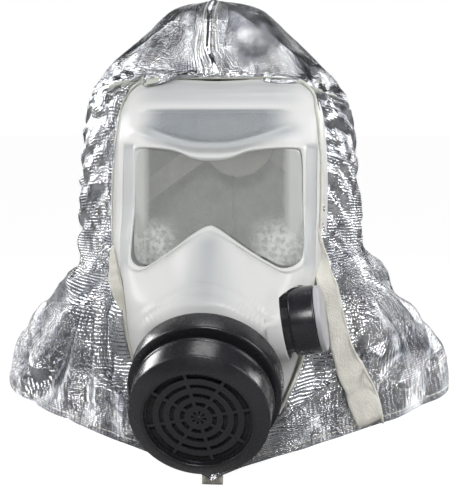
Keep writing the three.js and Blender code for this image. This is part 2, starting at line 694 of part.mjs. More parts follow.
function harnessParts() {
  for (const level of ['upper', 'lower']) {
    for (const [word, side] of [['left', 1], ['right', -1]]) {
      const path = strapPath(level, side);
      const { pin, run, out } = buckleFrame(path);
      const over = [10, 18].map((s) => pin.clone().addScaledVector(run, s).addScaledVector(out, 2.1));
      const strap = tape([...over, ...path.slice(4)], outwardOf, STRAP_WIDTH, STRAP_THICKNESS);
      add(`strap_${level}_${word}`, strap, 'cream');
      buckleAndAnchor(`${level}_${word}`, path);
    }
  }
  const pad = new THREE.CylinderGeometry(PAD_RADIUS, PAD_RADIUS, 3, SMALL);
  pad.scale(1, 1, 1.25);
  pad.translate(0, STRAP_END[1] - 5, 58);
  add('head_pad', pad, 'cream');
}

// Axes of a buckle at the front of a strap path: pin, along the strap, away from the head.
function buckleFrame(path) {
  const pin = path[1];
  const out = outwardOf(pin);
  const run = path[2].clone().sub(path[0]).normalize();
  run.addScaledVector(out, -run.dot(out)).normalize();
  return { pin, run, out, across: run.clone().cross(out).normalize() };
}

// Buckle between the rim tab and the strap, hung on the tab's pin.
function buckleAndAnchor(name, path) {
  const { pin, run, out, across } = buckleFrame(path);
  const place = (geometry, shift) => {
    const basis = new THREE.Matrix4().makeBasis(run, across, out);
    geometry.applyMatrix4(basis);
    const at = pin.clone().addScaledVector(run, shift);
    geometry.translate(at.x, at.y, at.z);
    return geometry;
  };
  const bar = (radius, length) => toSolid(place(new THREE.CylinderGeometry(radius, radius, length, 8), 0));
  const box = (length, width, height, shift) => {
    return toSolid(place(new THREE.BoxGeometry(length, width, height), shift));
  };
  const knuckles = bar(2.8, 24).subtract(box(8, 9.6, 8, 0));
  const frame = box(15.5, 24, 2.4, 9.2).subtract(box(4, 19, 6, 12.5)).subtract(box(5, 9.6, 6, 2));
  add(`buckle_${name}`, frame.add(knuckles).subtract(bar(1.2 + GAP, 30)), 'black');
  const tab = box(17, 9, 2.4, -10).add(bar(2.8, 9)).add(bar(1.2, 24));
  add(`anchor_${name}`, tab, 'black');
}

hoodParts();
faceBinding();
neckElastic();
liningStrip();
faceParts();
halfMask();
portParts();
canisterParts();
valveParts();
harnessParts();

// Origin at the bottom centre of the whole hood.
const bounds = new THREE.Box3().setFromObject(group);
const centre = bounds.getCenter(new THREE.Vector3());
for (const mesh of group.children) mesh.geometry.translate(-centre.x, -centre.y, -bounds.min.z);

export default group;
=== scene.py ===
import json
import math

import bpy
import numpy as np
from mathutils import Matrix, Vector


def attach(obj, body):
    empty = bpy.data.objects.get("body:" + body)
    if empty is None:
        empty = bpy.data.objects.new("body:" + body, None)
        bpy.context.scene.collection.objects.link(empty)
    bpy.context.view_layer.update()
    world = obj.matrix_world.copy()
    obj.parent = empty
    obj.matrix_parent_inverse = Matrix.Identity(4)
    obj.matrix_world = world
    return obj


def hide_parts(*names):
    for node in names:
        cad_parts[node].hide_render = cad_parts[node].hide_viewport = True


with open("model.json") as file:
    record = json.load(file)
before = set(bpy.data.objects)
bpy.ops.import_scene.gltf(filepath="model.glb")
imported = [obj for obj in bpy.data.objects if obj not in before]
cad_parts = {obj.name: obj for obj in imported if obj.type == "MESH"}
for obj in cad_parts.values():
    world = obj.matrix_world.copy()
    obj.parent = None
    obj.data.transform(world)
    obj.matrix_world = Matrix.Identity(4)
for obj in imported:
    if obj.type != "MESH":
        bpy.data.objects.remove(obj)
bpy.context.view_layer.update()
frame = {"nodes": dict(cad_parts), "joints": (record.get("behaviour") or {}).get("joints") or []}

# Everything below is laid out in millimetres from the middle of the visor, like the CAD part:
# +Z is up, the wearer faces -Y and +X is the wearer's left. row() turns that into the row frame.
JOINTS = {joint["name"]: joint for joint in frame["joints"]}
PORT_CENTRE = np.array([0.0, -26.0, -132.6])
PORT_AXIS = np.array(JOINTS["canister_turn"]["axis"])
VALVE_CENTRE = np.array([58.0, -4.0, -88.0])
VALVE_AXIS = np.array(JOINTS["exhalation_cover_twist"]["axis"])
ORIGIN = np.array(JOINTS["canister_turn"]["pos_m"]) - PORT_CENTRE / 1000

# Hood: horizontal sections as [z, half width, front y, back y, roundness, sideways shift].
HOOD = [
    [-214, 180, 7, 180, 1.5, 0],
    [-147, 176, 13, 174, 1.5, 0],
    [-120, 169, 14, 170, 1.6, 0],
    [-90, 150, 14, 171, 1.8, 0],
    [-62, 126, 16, 176, 2.0, 0],
    [-40, 115, 18, 186, 2.1, -4],
    [0, 109, 20, 195, 2.2, -8],
    [45, 106, 26, 194, 2.2, -9],
    [82, 100, 36, 189, 2.2, -9],
    [101, 86, 42, 182, 2.1, -9],
    [130, 58, 52, 165, 2.0, -9],
    [147, 41, 62, 146, 2.0, -9],
    [154, 27, 76, 130, 2.0, -9],
    [158, 0, 92, 108, 2.0, -9],
]
CROWN = 158.0           # top of the hood
HEM_LOW = -211.0        # hem at the front and back seams
HEM_SIDE = -145.0       # hem at the sides
NECK_Z = -50.0          # neck elastic
CLOTH_THICK = 1.1
RIB_SPACING = 2.0       # ribs of the cloth's weave

# The hood's grid of rows from hem to crown and columns from the front edge round to the back.
HOOD_ROWS = 140
HOOD_COLUMNS = 76       # on each half
HEM_SHARE = 0.10        # share of the rows below the facepiece
MASK_SHARE = 0.60       # share of the rows that start on the facepiece rim
ROW_STEP = 1.7          # least height between two low rows away from the front
# Rows on the rim lie closer at its foot: how far they fall behind, over what share, and the rest.
LATE, LATE_SPAN, LATE_REST = 0.2, 0.22, 0.802
CROWN_SPACING = 0.8     # below 1, rows lie closer towards the top of the crown seam
BACK_SPACING = 0.92     # the same for the back seam
HEM_ARCH = 0.34         # share of the rows that follow the hem's rise at the sides
HEM_ARCH_POWER = 1.15

# Where the cape's folds meet on the left and right, as [length from the front edge, height].
GATHER_POINTS = [[24.0, -38.0], [9.0, -52.0]]
# Broad folds of the cape, seen from the front, as [start, end, width at start, at end, height].
DRAWN_FOLDS = [
    [(-94, -50), (-120, -66), 5, 7, 6.0],
    [(-90, -60), (-120, -78), 3, 4, -6.0],
    [(-104, -76), (-156, -148), 6, 9, 8.0],
    [(-100, -70), (-138, -155), 4, 6, -7.0],
    [(-96, -66), (-120, -158), 5, 7, 7.0],
    [(-92, -64), (-106, -162), 4, 5, -7.0],
    [(-88, -62), (-92, -165), 5, 6, 7.0],
    [(-80, -68), (-82, -168), 3, 4, -6.0],
    [(-72, -76), (-72, -172), 6, 7, 7.0],
    [(94, -42), (130, -108), 5, 12, 9.0],
    [(92, -50), (112, -128), 3, 5, -7.0],
    [(108, -56), (150, -118), 4, 6, -6.0],
    [(114, -60), (164, -124), 5, 8, 6.0],
    [(60, -128), (66, -185), 6, 9, 4.0],
    [(76, -118), (88, -178), 5, 7, -4.0],
]
CRINKLE, CRINKLE_BESIDE_MASK = 0.22, 0.60   # height of the fine foil crinkles
# Cloth simulation: the inner form lies behind the cloth, so that folds go outwards.
FORM_INSET = 5.0
FORM_SKIN, FORM_FRICTION, CLOTH_GAP = 0.001, 8, 0.0015
SIM_FRAMES = 14
# How firmly the cloth keeps its place while it settles, from 0 (free) to 1 (fixed).
KEEP = {"cloth": 0.66, "near_neck": 0.15, "hem": 0.85, "back_seam": 0.75, "seams": 0.8, "rim": 1.0}
CLOTH_SETTINGS = {
    "quality": 4, "mass": 0.02, "air_damping": 2,
    "tension_stiffness": 14, "compression_stiffness": 14, "tension_damping": 6,
    "compression_damping": 6, "shear_stiffness": 6, "shear_damping": 5,
    "bending_stiffness": 0.25, "bending_damping": 0.5,
    "vertex_group_mass": "keep", "pin_stiffness": 1.5, "shrink_min": -0.02,
}

# The cape's front hem is faced with the metal cloth on the inside, below and ahead of these.
FACING_TOP, FACING_DEPTH = -118.0, 62.0
# Turned-out lining to the left of the facepiece as [x, z, width].
LINING_PATH = [
    [77, -18, 2], [79, -36, 8], [81, -50, 13], [85, -62, 15], [89, -76, 14], [92.5, -90, 13],
    [95, -106, 15], [99, -118, 18], [104, -130, 22], [109, -142, 24], [113, -154, 24],
    [116, -163, 22], [118, -170, 19],
]
# Fullness of the binding under the other side of the window, as [x, z, width].
FULLNESS_PATH = [[-79, -34, 2], [-77, -45, 5], [-73.5, -57, 8], [-70, -69, 6], [-67, -80, 2]]
STRIP_STEPS = 60
STRIP_THICK = 1.4
STRIP_GAP = 1.2         # between the strips and the metal cloth behind them
PIPING_RADIUS = 0.9     # piping along the lining's outer edge
FRONT_DEPTH = 90.0      # cloth ahead of this belongs to the front of the hood
BINDING_RADIUS = 1.2
BINDING_OUT, BINDING_TUCK = 0.9, 2.8
SEAM_WIDTH, SEAM_LIFT = 3.4, 0.6
CROWN_THICK, BACK_THICK = 1.9, 1.6
THREAD = 0.35           # radius of the stitching thread
CROWN_STITCH = {"length": 2.6, "pitch": 4.0, "lift": 0.9}
CROWN_STITCH_SIDE = 4.2
HEM_STITCH = {"length": 3.0, "pitch": 4.6, "lift": 0.8}
HEM_STITCH_ROW = 3
HEM_TAB_LOW, HEM_TAB_LENGTH, HEM_TAB_WIDTH, HEM_TAB_THICK = -214.0, 18.0, 16.0, 1.6
HEM_TAB_STEPS = 8

# Facepiece rim and visor opening, right halves from the top centre as [x, z].
RIM = [
    [0, 93], [38, 94.5], [64, 91], [77, 76], [82, 50], [84, 20], [84, -10], [82.5, -35],
    [77, -60], [71, -85], [66, -110], [58, -135], [46, -158], [25, -176], [0, -181],
]
VISOR = [
    [0, 33], [14, 34.5], [26, 39], [40, 41.3], [57, 41.8], [61.5, 40.8], [62.8, 37], [64, 0],
    [65.2, -34], [63.5, -42], [58, -46], [51, -46.5], [42, -42], [28, -33], [14, -23],
    [5, -17.5], [0, -16],
]
# Centre line of the facepiece as [z, y].
SPINE = [
    [-181, 12], [-128, -14], [-100, -27.8], [-85, -33], [-74, -33.5], [-60, -28.5], [-45, -21],
    [-28, -11], [-14, -3], [0, 0], [36, 0], [48, -3], [60, 1.5], [74, 9], [86, 20], [94, 34],
]
# Seal flap inside the rim as [distance in from the rim, distance back].
FLAP = [
    [0.5, 4], [2, 9], [5, 13], [10, 15], [16, 15.5], [21, 14.5], [21.5, 13.2], [16, 13.4],
    [10, 12.8], [6.5, 10],
]
FACE_CENTRE = (0.0, -10.0)
FACE_AROUND = 320
FACE_ACROSS = 146
FACE_SPACING = 0.9      # below 1, rings lie closer towards the rim
FACE_WALL = 3.2
STEEPEST = 2.4          # the wall is at most this much deeper along Y where it slopes
RIM_INSET = 4.5         # the inner surface ends this far inside the rim
# Rounded bead round the window: height, distance from the opening and width.
BEAD_HEIGHT, BEAD_AT, BEAD_WIDTH = 2.1, 2.3, 1.9
LIP = 0.5               # the wall's rounded edge reaches this far into the opening
WINDOW_LEAN = 4.0       # sideways stretch of the window towards the wearer's left
BROW_LOW, BROW_RISE = 45.5, 12.5
# Steps of the silicone collar round the filter port, as radii from its axis, and their depth.
COLLAR_RADII, COLLAR_BLEND, COLLAR_STEP = (61.5, 67.6), 1.4, 2.8
VISOR_CENTRE = (0.0, 10.0)
LENS_CENTRE = np.array([0.0, 8.0])
LENS_FACES = (1.6, 3.4)     # how far back its front and back surfaces lie
LENS_GAP = 0.4              # between the visor's edge and the opening
LENS_AROUND, LENS_RINGS = 240, 40

# Turned parts as [radius, distance along the axis].
PORT_RING = [
    [26, -23], [30, -23], [30, -10], [56.6, -10], [57.5, -9], [57.5, 9], [56.6, 10],
    [43.2, 10], [43.2, -3], [26, -3], [26, -23],
]
CANISTER_BODY = [
    [24, 0], [42, 0], [42, 14], [45, 17], [52.9, 17], [52.9, 19.4], [52, 20.2], [52, 39],
    [49.8, 39], [49.8, 21], [38, 21], [38, 2.5], [24, 2.5], [24, 0],
]
CANISTER_COVER = [
    [39.6, 39.9], [46, 39.9], [46, 39.3], [52, 39.3], [52, 40.2], [42.1, 46], [39.8, 46],
    [39.3, 42.2], [38.9, 41.2], [39.6, 39.9],
]
VALVE_SOCKET = [
    [20.3, -13], [28.5, -13], [28.5, -1], [26.6, -1], [26.6, -3], [20.3, -3], [20.3, -13],
]
VALVE_COVER = [
    [0, 23.4], [24.6, 23.4], [25.5, 22.4], [25.5, 5.4], [24.4, 4.3], [23.4, 4.3], [23.4, 21.6],
    [0, 21.6],
]
VALVE_CAP = [[0, 23.7], [24.4, 23.7], [24.9, 24.3], [24.9, 27.2], [24.0, 28], [0, 28]]
# Holes cut through the facepiece as [radius, start, end] along the port's and the valve's axis.
PORT_HOLES = [(30.3, -45, 20), (38, -45, -18.7)]
VALVE_HOLES = [(20.3, -34, 6), (26.6, -3, 60)]

# Grille in the canister's cover: ring slots as [inner, outer] radius, between straight spokes.
SLOTS = [[2.2, 5.6], [10.3, 13.5], [18, 21.2], [26, 28.9], [33.7, 38.4]]
GRILLE_INNER, GRILLE_OUTER = 0.9, 39.5
GRILLE_BACK, GRILLE_FRONT = 40.4, 42.2
HUB = [[0, 40.4], [1.6, 40.4], [1.6, 42.4], [0, 42.4]]
SPOKES = 8
SPOKE_WIDTH = 2.6
SLOT_STEPS = 9          # steps of arc between two spokes
PORT_SEGMENTS, VALVE_SEGMENTS = 160, 128
GRILLE_TURN = 0.27      # share of a spoke's spacing

ANY_SIDE = np.array([0.13, -0.9, 0.41])     # a direction that no cord runs along

CAMERA_TURN, CAMERA_LIFT, CAMERA_DISTANCE = 7.5, 4.0, 1400.0
CAMERA_TARGET = np.array([10.5, 0.0, -34.0])
VIEW_WIDTH = 336.75     # millimetres across the picture at the visor
PICTURE = (449, 500)
FLOOR_SIZE = 30.0       # metres from the middle to each side
# Soft boxes as [name, place, size, power], all turned to the same point.
LAMPS = [
    ["key_left", (-860, -160, 380), 520, 6.5],
    ["key_right", (880, -190, 400), 540, 6.8],
    ["top", (0, 420, 820), 420, 3.0],
    ["front_fill", (60, -1300, 560), 300, 11.6],
    ["rim_left", (-700, 620, 260), 260, 2.6],
    ["rim_right", (700, 620, 260), 260, 2.6],
]
LAMP_TARGET = (0.0, 60.0, -30.0)
# Grey of the surroundings in reflections, from straight down (0) to straight up (1).
SKY = [(0.0, 0.05), (0.46, 0.05), (0.5, 0.01), (0.72, 0.015), (0.86, 0.03), (1.0, 0.08)]
SKY_STRENGTH = 0.8


# ---- numbers ----


def smooth_table(rows, column=1, count=1200):
    """Monotone cubic through the rows, sampled densely, as a function of arrays."""
    x = np.array([row[0] for row in rows], float)
    y = np.array([row[column] for row in rows], float)
    slope = np.diff(y) / np.diff(x)
    tangent = np.concatenate([[slope[0]], np.zeros(len(x) - 2), [slope[-1]]])
    for i in range(1, len(x) - 1):
        before, after = slope[i - 1], slope[i]
        if before * after > 0:
            tangent[i] = 2 * before * after / (before + after)
    grid = np.linspace(x[0], x[-1], count)
    k = np.clip(np.searchsorted(x, grid) - 1, 0, len(x) - 2)
    width = x[k + 1] - x[k]
    t = (grid - x[k]) / width
    value = (2 * t**3 - 3 * t**2 + 1) * y[k] + (t**3 - 2 * t**2 + t) * width * tangent[k]
    value += (3 * t**2 - 2 * t**3) * y[k + 1] + (t**3 - t**2) * width * tangent[k + 1]
    return lambda q: np.interp(q, grid, value)


HALF, FRONT, BACK, ROUND, SHIFT = [smooth_table(HOOD, column) for column in (1, 2, 3, 4, 5)]
SPINE_Y = smooth_table(SPINE)


def ease(low, high, x):
    """0 below low, 1 above high, smooth between."""
    t = np.clip((np.asarray(x, float) - low) / (high - low), 0, 1)
    return t * t * (3 - 2 * t)


def within(low, start, end, high, x):
    """1 from start to end, 0 below low and above high, smooth between."""
    return ease(low, start, x) * (1 - ease(end, high, x))


def bump(x, centre, width):
    """Smooth hump, 1 at the centre."""
    return np.exp(-(((x - centre) / width) ** 2))


def unit(vectors):
    """Vectors of length 1 in the same directions."""
    return vectors / np.linalg.norm(vectors, axis=-1, keepdims=True)


def lengths(points):
    """Length along a line of points at each point."""
    step = np.linalg.norm(np.diff(points, axis=0), axis=-1)
    return np.concatenate([[0], np.cumsum(step)])


def along(line, distance, at):
    """Point of a line, or of values beside it, at a distance along it."""
    return np.array([np.interp(at, distance, line[:, k]) for k in range(line.shape[1])])


def mixed(t, start, end, a, b):
    """Point between a, reached at start, and b, reached at end."""
    return (end - t) / (end - start) * a + (t - start) / (end - start) * b


def closed_curve(half, count):
    """Smooth closed outline through a right half and its mirror image, evenly spaced."""
    points = np.array(half + [[-x, z] for x, z in half[-2:0:-1]], float)
    samples = []
    for i in range(len(points)):
        p = [points[(i + k - 1) % len(points)] for k in range(4)]
        knots = [0.0]
        for k in range(3):
            knots.append(knots[-1] + np.linalg.norm(p[k + 1] - p[k]) ** 0.5)
        for t in np.linspace(knots[1], knots[2], 40, endpoint=False):
            lines = [mixed(t, knots[k], knots[k + 1], p[k], p[k + 1]) for k in range(3)]
            arcs = [mixed(t, knots[k], knots[k + 2], lines[k], lines[k + 1]) for k in range(2)]
            samples.append(mixed(t, knots[1], knots[2], *arcs))
    samples = np.array(samples + [samples[0]])
    distance = lengths(samples)
    even = np.linspace(0, distance[-1], count, endpoint=False)
    return np.stack([np.interp(even, distance, samples[:, k]) for k in (0, 1)], 1)


def polar(points, centre):
    """Sorted angle and radius of an outline about a centre, padded so angles wrap."""
    offset = points - np.array(centre)
    angle = np.arctan2(offset[:, 1], offset[:, 0])
    radius = np.hypot(offset[:, 0], offset[:, 1])
    order = np.argsort(angle)
    angle, radius = angle[order], radius[order]
    turn = 2 * math.pi
    return np.concatenate([angle - turn, angle, angle + turn]), np.tile(radius, 3)


RIM_CURVE = closed_curve(RIM, 720)
RIM_POLAR = polar(RIM_CURVE, FACE_CENTRE)


def noise3(points, scale, seed):
    """Smooth value noise in -1..1 at points, with cells of the given size."""
    shape = np.shape(points)[:-1]
    p = np.asarray(points, float).reshape(-1, 3) / scale + seed * 17.31
    cell = np.floor(p).astype(np.int64)
    f = p - cell
    f = f * f * (3 - 2 * f)
    total = np.zeros(len(p))
    for dx in (0, 1):
        for dy in (0, 1):
            for dz in (0, 1):
                c = cell + np.array([dx, dy, dz])
                h = c[:, 0] * 73856093 ^ c[:, 1] * 19349663 ^ c[:, 2] * 83492791 ^ (seed * 2654435761)
                h = (h ^ (h >> 13)) * 1274126177 & 0x7FFFFFFF
                h = (h ^ (h >> 16)) & 0xFFFFFF
                w = (f[:, 0] if dx else 1 - f[:, 0]) * (f[:, 1] if dy else 1 - f[:, 1])
                total += (h / 0x7FFFFF - 1) * w * (f[:, 2] if dz else 1 - f[:, 2])
    return total.reshape(shape)


def creases(points, scale, seed):
    """Crumple pattern: sharp folds where noise crosses zero, two sizes."""
    big = 1 - np.abs(noise3(points, scale, seed)) * 2
    small = 1 - np.abs(noise3(points, scale * 0.47, seed + 1)) * 2
    return 0.68 * big + 0.32 * small


# ---- meshes ----


def row(points):
    """Points of the layout in the row frame, in metres."""
    return np.asarray(points, float) / 1000 + ORIGIN


def vertex_values(mesh, name="co"):
    """Place or normal of each vertex, as the mesh holds it."""
    values = np.zeros(len(mesh.vertices) * 3)
    mesh.vertices.foreach_get(name, values)
    return values.reshape(-1, 3)


def mesh_object(name, points, faces, smooth=True):
    """Object from points in the layout's millimetres."""
    mesh = bpy.data.meshes.new(name)
    mesh.from_pydata([tuple(p) for p in row(points)], [], [tuple(int(i) for i in f) for f in faces])
    mesh.validate()
    mesh.update()
    obj = bpy.data.objects.new(name, mesh)
    bpy.context.scene.collection.objects.link(obj)
    if smooth:
        mesh.polygons.foreach_set("use_smooth", [True] * len(mesh.polygons))
    return obj


def grid_faces(rows, columns, wrap_rows=False, wrap_columns=False):
    """Faces between the points of a grid, which may close on itself either way."""
    faces = []
    for r in range(rows if wrap_rows else rows - 1):
        near, far = r * columns, ((r + 1) % rows) * columns
        for c in range(columns if wrap_columns else columns - 1):
            d = (c + 1) % columns
            faces.append((near + c, near + d, far + d, far + c))
    return faces


def closed_fans(points, faces, around, ends):
    """Closes the first and last ring of points with a fan of faces to each end point."""
    last = len(points) - around
    for c in range(around):
        d = (c + 1) % around
        faces.append((d, c, len(points)))
        faces.append((last + c, last + d, len(points) + 1))
    return np.concatenate([points, ends])


def fix_normals(obj):
    """Turns all faces outwards."""
    bpy.context.view_layer.objects.active = obj
    for other in bpy.context.selected_objects:
        other.select_set(False)
    obj.select_set(True)
    bpy.ops.object.mode_set(mode="EDIT")
    bpy.ops.mesh.select_all(action="SELECT")
    bpy.ops.mesh.normals_make_consistent(inside=False)
    bpy.ops.object.mode_set(mode="OBJECT")
    obj.select_set(False)


def closed_object(name, points, faces, smooth=True):
    obj = mesh_object(name, points, faces, smooth)
    fix_normals(obj)
    return obj


def apply_modifiers(obj):
    """Replaces the mesh with what the modifiers make of it."""
    graph = bpy.context.evaluated_depsgraph_get()
    baked = bpy.data.meshes.new_from_object(obj.evaluated_get(graph))
    old = obj.data
    obj.modifiers.clear()
    obj.data = baked
    bpy.data.meshes.remove(old)


def boolean(obj, cutter, operation="DIFFERENCE"):
    """Cuts or joins two closed solids, worked out in millimetres so fine detail isn't merged."""
    for solid in (obj, cutter):
        solid.data.transform(Matrix.Scale(1000, 4))
    modifier = obj.modifiers.new("cut", "BOOLEAN")
    modifier.object = cutter
    modifier.operation = operation
    modifier.solver = "MANIFOLD"
    apply_modifiers(obj)
    obj.data.transform(Matrix.Scale(0.001, 4))
    bpy.data.objects.remove(cutter)


def on_axis(centre, axis, radius, distance, turn):
    """Points round an axis, by radius, distance along it and turn."""
    side = np.array([1.0, 0, 0]) if abs(axis[0]) < 0.8 else np.array([0, 1.0, 0])
    side = side - axis * side.dot(axis)
    side /= np.linalg.norm(side)
    up = np.cross(axis, side)
    radius, distance, turn = np.broadcast_arrays(radius, distance, turn)
    return (
        centre
        + distance[..., None] * axis
        + (radius * np.cos(turn))[..., None] * side
        + (radius * np.sin(turn))[..., None] * up
    )


def rounded(profile, radius, steps=3):
    """Profile of [r, s] with each corner turned into a small arc."""
    points = np.array(profile, float)
    closed = np.allclose(points[0], points[-1])
    if closed:
        points = points[:-1]
    n = len(points)
    result = []
    for i in range(n):
        here = points[i]
        if not closed and i in (0, n - 1):
            result.append(here)
            continue
        before, after = points[(i - 1) % n] - here, points[(i + 1) % n] - here
        reach = min(radius, 0.42 * np.linalg.norm(before), 0.42 * np.linalg.norm(after))
        a = here + before / np.linalg.norm(before) * reach
        b = here + after / np.linalg.norm(after) * reach
        for t in np.linspace(0, 1, steps + 1):
            result.append((1 - t) ** 2 * a + 2 * t * (1 - t) * here + t * t * b)
    if closed:
        result.append(result[0])
    return np.array(result)


def turned(name, profile, centre, axis, segments=96, round_by=0.5):
    """Solid of revolution. The profile closes on itself or starts and ends on the axis."""
    profile = rounded(profile, round_by) if round_by else np.array(profile, float)
    closed = np.allclose(profile[0], profile[-1])
    rings = profile[:-1] if closed else profile[1:-1]
    turns = np.linspace(0, 2 * math.pi, segments, endpoint=False)
    points = on_axis(centre, axis, rings[:, None, 0], rings[:, None, 1], turns[None, :]).reshape(-1, 3)
    faces = grid_faces(len(rings), segments, closed, True)
    if not closed:
        ends = np.array([centre + profile[k, 1] * axis for k in (0, -1)])
        points = closed_fans(points, faces, segments, ends)
    return closed_object(name, points, faces)


def cord(name, points, radius, sides=10, closed=False):
    """Round cord along points."""
    n = len(points)
    if closed:
        run = np.roll(points, -1, 0) - np.roll(points, 1, 0)
    else:
        run = np.gradient(points, axis=0)
    run = unit(run)
    side = unit(np.cross(run, ANY_SIDE))
    up = np.cross(side, run)
    turns = np.linspace(0, 2 * math.pi, sides, endpoint=False)[None, :, None]
    ring = points[:, None] + radius * (np.cos(turns) * side[:, None] + np.sin(turns) * up[:, None])
    faces = grid_faces(n, sides, closed, True)
    if not closed:
        faces.append(tuple(range(sides)))
        faces.append(tuple((n - 1) * sides + k for k in reversed(range(sides))))
    return closed_object(name, ring.reshape(-1, 3), faces)


def band(name, points, outward, width, thickness, across_steps=6):
    """Flat strap along points, lying square to outward."""
    run = unit(np.gradient(points, axis=0))
    out = unit(outward - run * (outward * run).sum(1)[:, None])
    across = np.cross(run, out)
    width = np.broadcast_to(width, len(points))
    section = [(u, 1.0) for u in np.linspace(-1, 1, across_steps)]
    section += [(u, 0.0) for u in np.linspace(1, -1, across_steps)]
    rings = np.stack(
        [points + (u * width / 2)[:, None] * across + v * thickness * out for u, v in section], 1
    )
    count = len(section)
    faces = grid_faces(len(points), count, False, True)
    for start, flip in ((0, True), ((len(points) - 1) * count, False)):
        for i in range(count // 2 - 1):
            quad = (start + i, start + i + 1, start + count - 2 - i, start + count - 1 - i)
            faces.append(quad[::-1] if flip else quad)
    return closed_object(name, rings.reshape(-1, 3), faces)


# ---- materials ----


class Nodes:
    """Short hand for building a node tree round one shader node."""

    def __init__(self, owner, output, shader):
        owner.use_nodes = True
        self.owner = owner
        self.tree = owner.node_tree
        self.tree.nodes.clear()
        self.shader = self.add(shader)
        self.link(self.shader.outputs[0], self.add(output).inputs[0])

    def add(self, kind, **values):
        node = self.tree.nodes.new(kind)
        for key, value in values.items():
            setattr(node, key, value)
        return node

    def link(self, source, target):
        self.tree.links.new(source, target)

    def drive(self, **sources):
        for key, source in sources.items():
            self.link(source, self.shader.inputs[key.replace("_", " ")])

    def set(self, **values):
        for key, value in values.items():
            self.shader.inputs[key.replace("_", " ")].default_value = value

    def coordinates(self, kind="Object"):
        return self.add("ShaderNodeTexCoord").outputs[kind]

    def split(self, source):
        node = self.add("ShaderNodeSeparateXYZ")
        self.link(source, node.inputs[0])
        return node.outputs

    def camera_ray(self):
        return self.add("ShaderNodeLightPath").outputs["Is Camera Ray"]

    def noise(self, scale, detail=3, roughness=0.5):
        node = self.add("ShaderNodeTexNoise")
        node.inputs["Scale"].default_value = scale
        node.inputs["Detail"].default_value = detail
        node.inputs["Roughness"].default_value = roughness
        self.link(self.coordinates(), node.inputs["Vector"])
        return node.outputs["Fac"]

    def ramp(self, source, stops):
        node = self.add("ShaderNodeValToRGB")
        while len(node.color_ramp.elements) < len(stops):
            node.color_ramp.elements.new(0.5)
        for element, (position, colour) in zip(node.color_ramp.elements, stops):
            element.position = position
            element.color = (*colour, 1)
        self.link(source, node.inputs[0])
        return node.outputs[0]

    def map(self, source, low, high, to_low, to_high):
        node = self.add("ShaderNodeMapRange")
        for index, value in enumerate((low, high, to_low, to_high)):
            node.inputs[index + 1].default_value = value
        self.link(source, node.inputs[0])
        return node.outputs[0]

    def math(self, operation, *terms):
        node = self.add("ShaderNodeMath", operation=operation)
        for socket, term in zip(node.inputs, terms):
            if isinstance(term, (int, float)):
                socket.default_value = term
            else:
                self.link(term, socket)
        return node.outputs[0]

    def plus(self, a, b):
        return self.math("ADD", a, b)

    def times(self, a, b):
        return self.math("MULTIPLY", a, b)

    def bump(self, source, distance):
        node = self.add("ShaderNodeBump")
        node.inputs["Strength"].default_value = 1.0
        node.inputs["Distance"].default_value = distance
        self.link(source, node.inputs["Height"])
        self.drive(Normal=node.outputs[0])


def new_material(name):
    material = bpy.data.materials.new(name)
    return Nodes(material, "ShaderNodeOutputMaterial", "ShaderNodeBsdfPrincipled")


def moulded(name, colour, roughness, grain=0.0, grain_scale=900, **values):
    """Moulded material: a colour with a slight mottle and a fine surface grain."""
    n = new_material(name)
    dark = tuple(c * 0.9 for c in colour)
    light = tuple(min(c * 1.08, 1) for c in colour)
    n.drive(Base_Color=n.ramp(n.noise(60, 2), [(0.3, dark), (0.7, light)]))
    n.drive(Roughness=n.map(n.noise(140, 2), 0.3, 0.7, roughness * 0.88, roughness * 1.12))
    n.set(**values)
    if grain:
        n.bump(n.noise(grain_scale, 2), grain / 1000)
    return n.owner


def foil_material():
    """Aluminised cloth: bright metal film over a fine rib weave, with small crinkles."""
    n = new_material("aluminised_cloth")
    sideways, upward, _ = n.split(n.coordinates("UV"))
    stripes = n.math("SINE", n.times(sideways, 2 * math.pi / RIB_SPACING))
    rungs = n.math("SINE", n.times(upward, 2 * math.pi / RIB_SPACING))
    height = n.split(n.coordinates())[2]
    crown = n.map(height, 0.15, 0.22, 0.0, 1.0)
    cape = n.math("SUBTRACT", 1.0, crown)
    rib = n.plus(n.times(stripes, crown), n.times(rungs, cape))
    cross = n.plus(n.times(stripes, cape), n.times(rungs, crown))
    crumpled = n.map(n.noise(22, 2), 0.44, 0.66, 0.4, 4.4)
    crumpled = n.times(crumpled, n.map(height, 0.26, 0.32, 1.0, 0.55))
    relief = n.plus(n.times(rib, 0.42), n.times(cross, 0.14))
    relief = n.plus(relief, n.times(n.noise(105, 4, roughness=0.6), crumpled))
    relief = n.plus(relief, n.times(n.noise(420, 2), 0.7))
    n.bump(relief, 0.00055)
    tones = [(0.35, (0.30, 0.31, 0.34)), (0.6, (0.68, 0.69, 0.71))]
    n.drive(Base_Color=n.ramp(n.noise(45, 3), tones))
    n.drive(Roughness=n.map(n.noise(160, 3), 0.3, 0.7, 0.07, 0.16))
    n.set(Metallic=0.93)
    return n.owner


def woven(name, colour, shade, weave):
    """Plain woven textile."""
    n = new_material(name)
    n.bump(n.plus(n.noise(900, 1), n.noise(260, 3)), weave)
    n.drive(Base_Color=n.ramp(n.noise(70, 3), [(0.3, shade), (0.7, colour)]))
    n.set(Roughness=0.92)
    return n.owner


def silicone_material():
    """Milky silicone: thin forehead and side windows let some of the inside show. Where it is less milky
    the colour is also darker, which paints shade down the nose.
    """
    n = new_material("milky_silicone_with_painted_shade")
    n.set(Roughness=0.34, IOR=1.41)
    milk_and_shade = n.add("ShaderNodeAttribute", attribute_name="milk_and_shade").outputs["Fac"]
    wavy = n.plus(milk_and_shade, n.map(n.noise(14, 2), 0.3, 0.7, -0.02, 0.02))
    # Darker, bluer colour where the value is low: partly the see-through silicone, partly painted shade
    # down the nose.
    tones = [(0.35, (0.58, 0.62, 0.66)), (0.55, (0.73, 0.745, 0.755)), (0.8, (0.79, 0.79, 0.78))]
    n.drive(Base_Color=n.ramp(wavy, tones), Alpha=milk_and_shade)
    n.bump(n.noise(30, 2), 0.0006)
    return n.owner


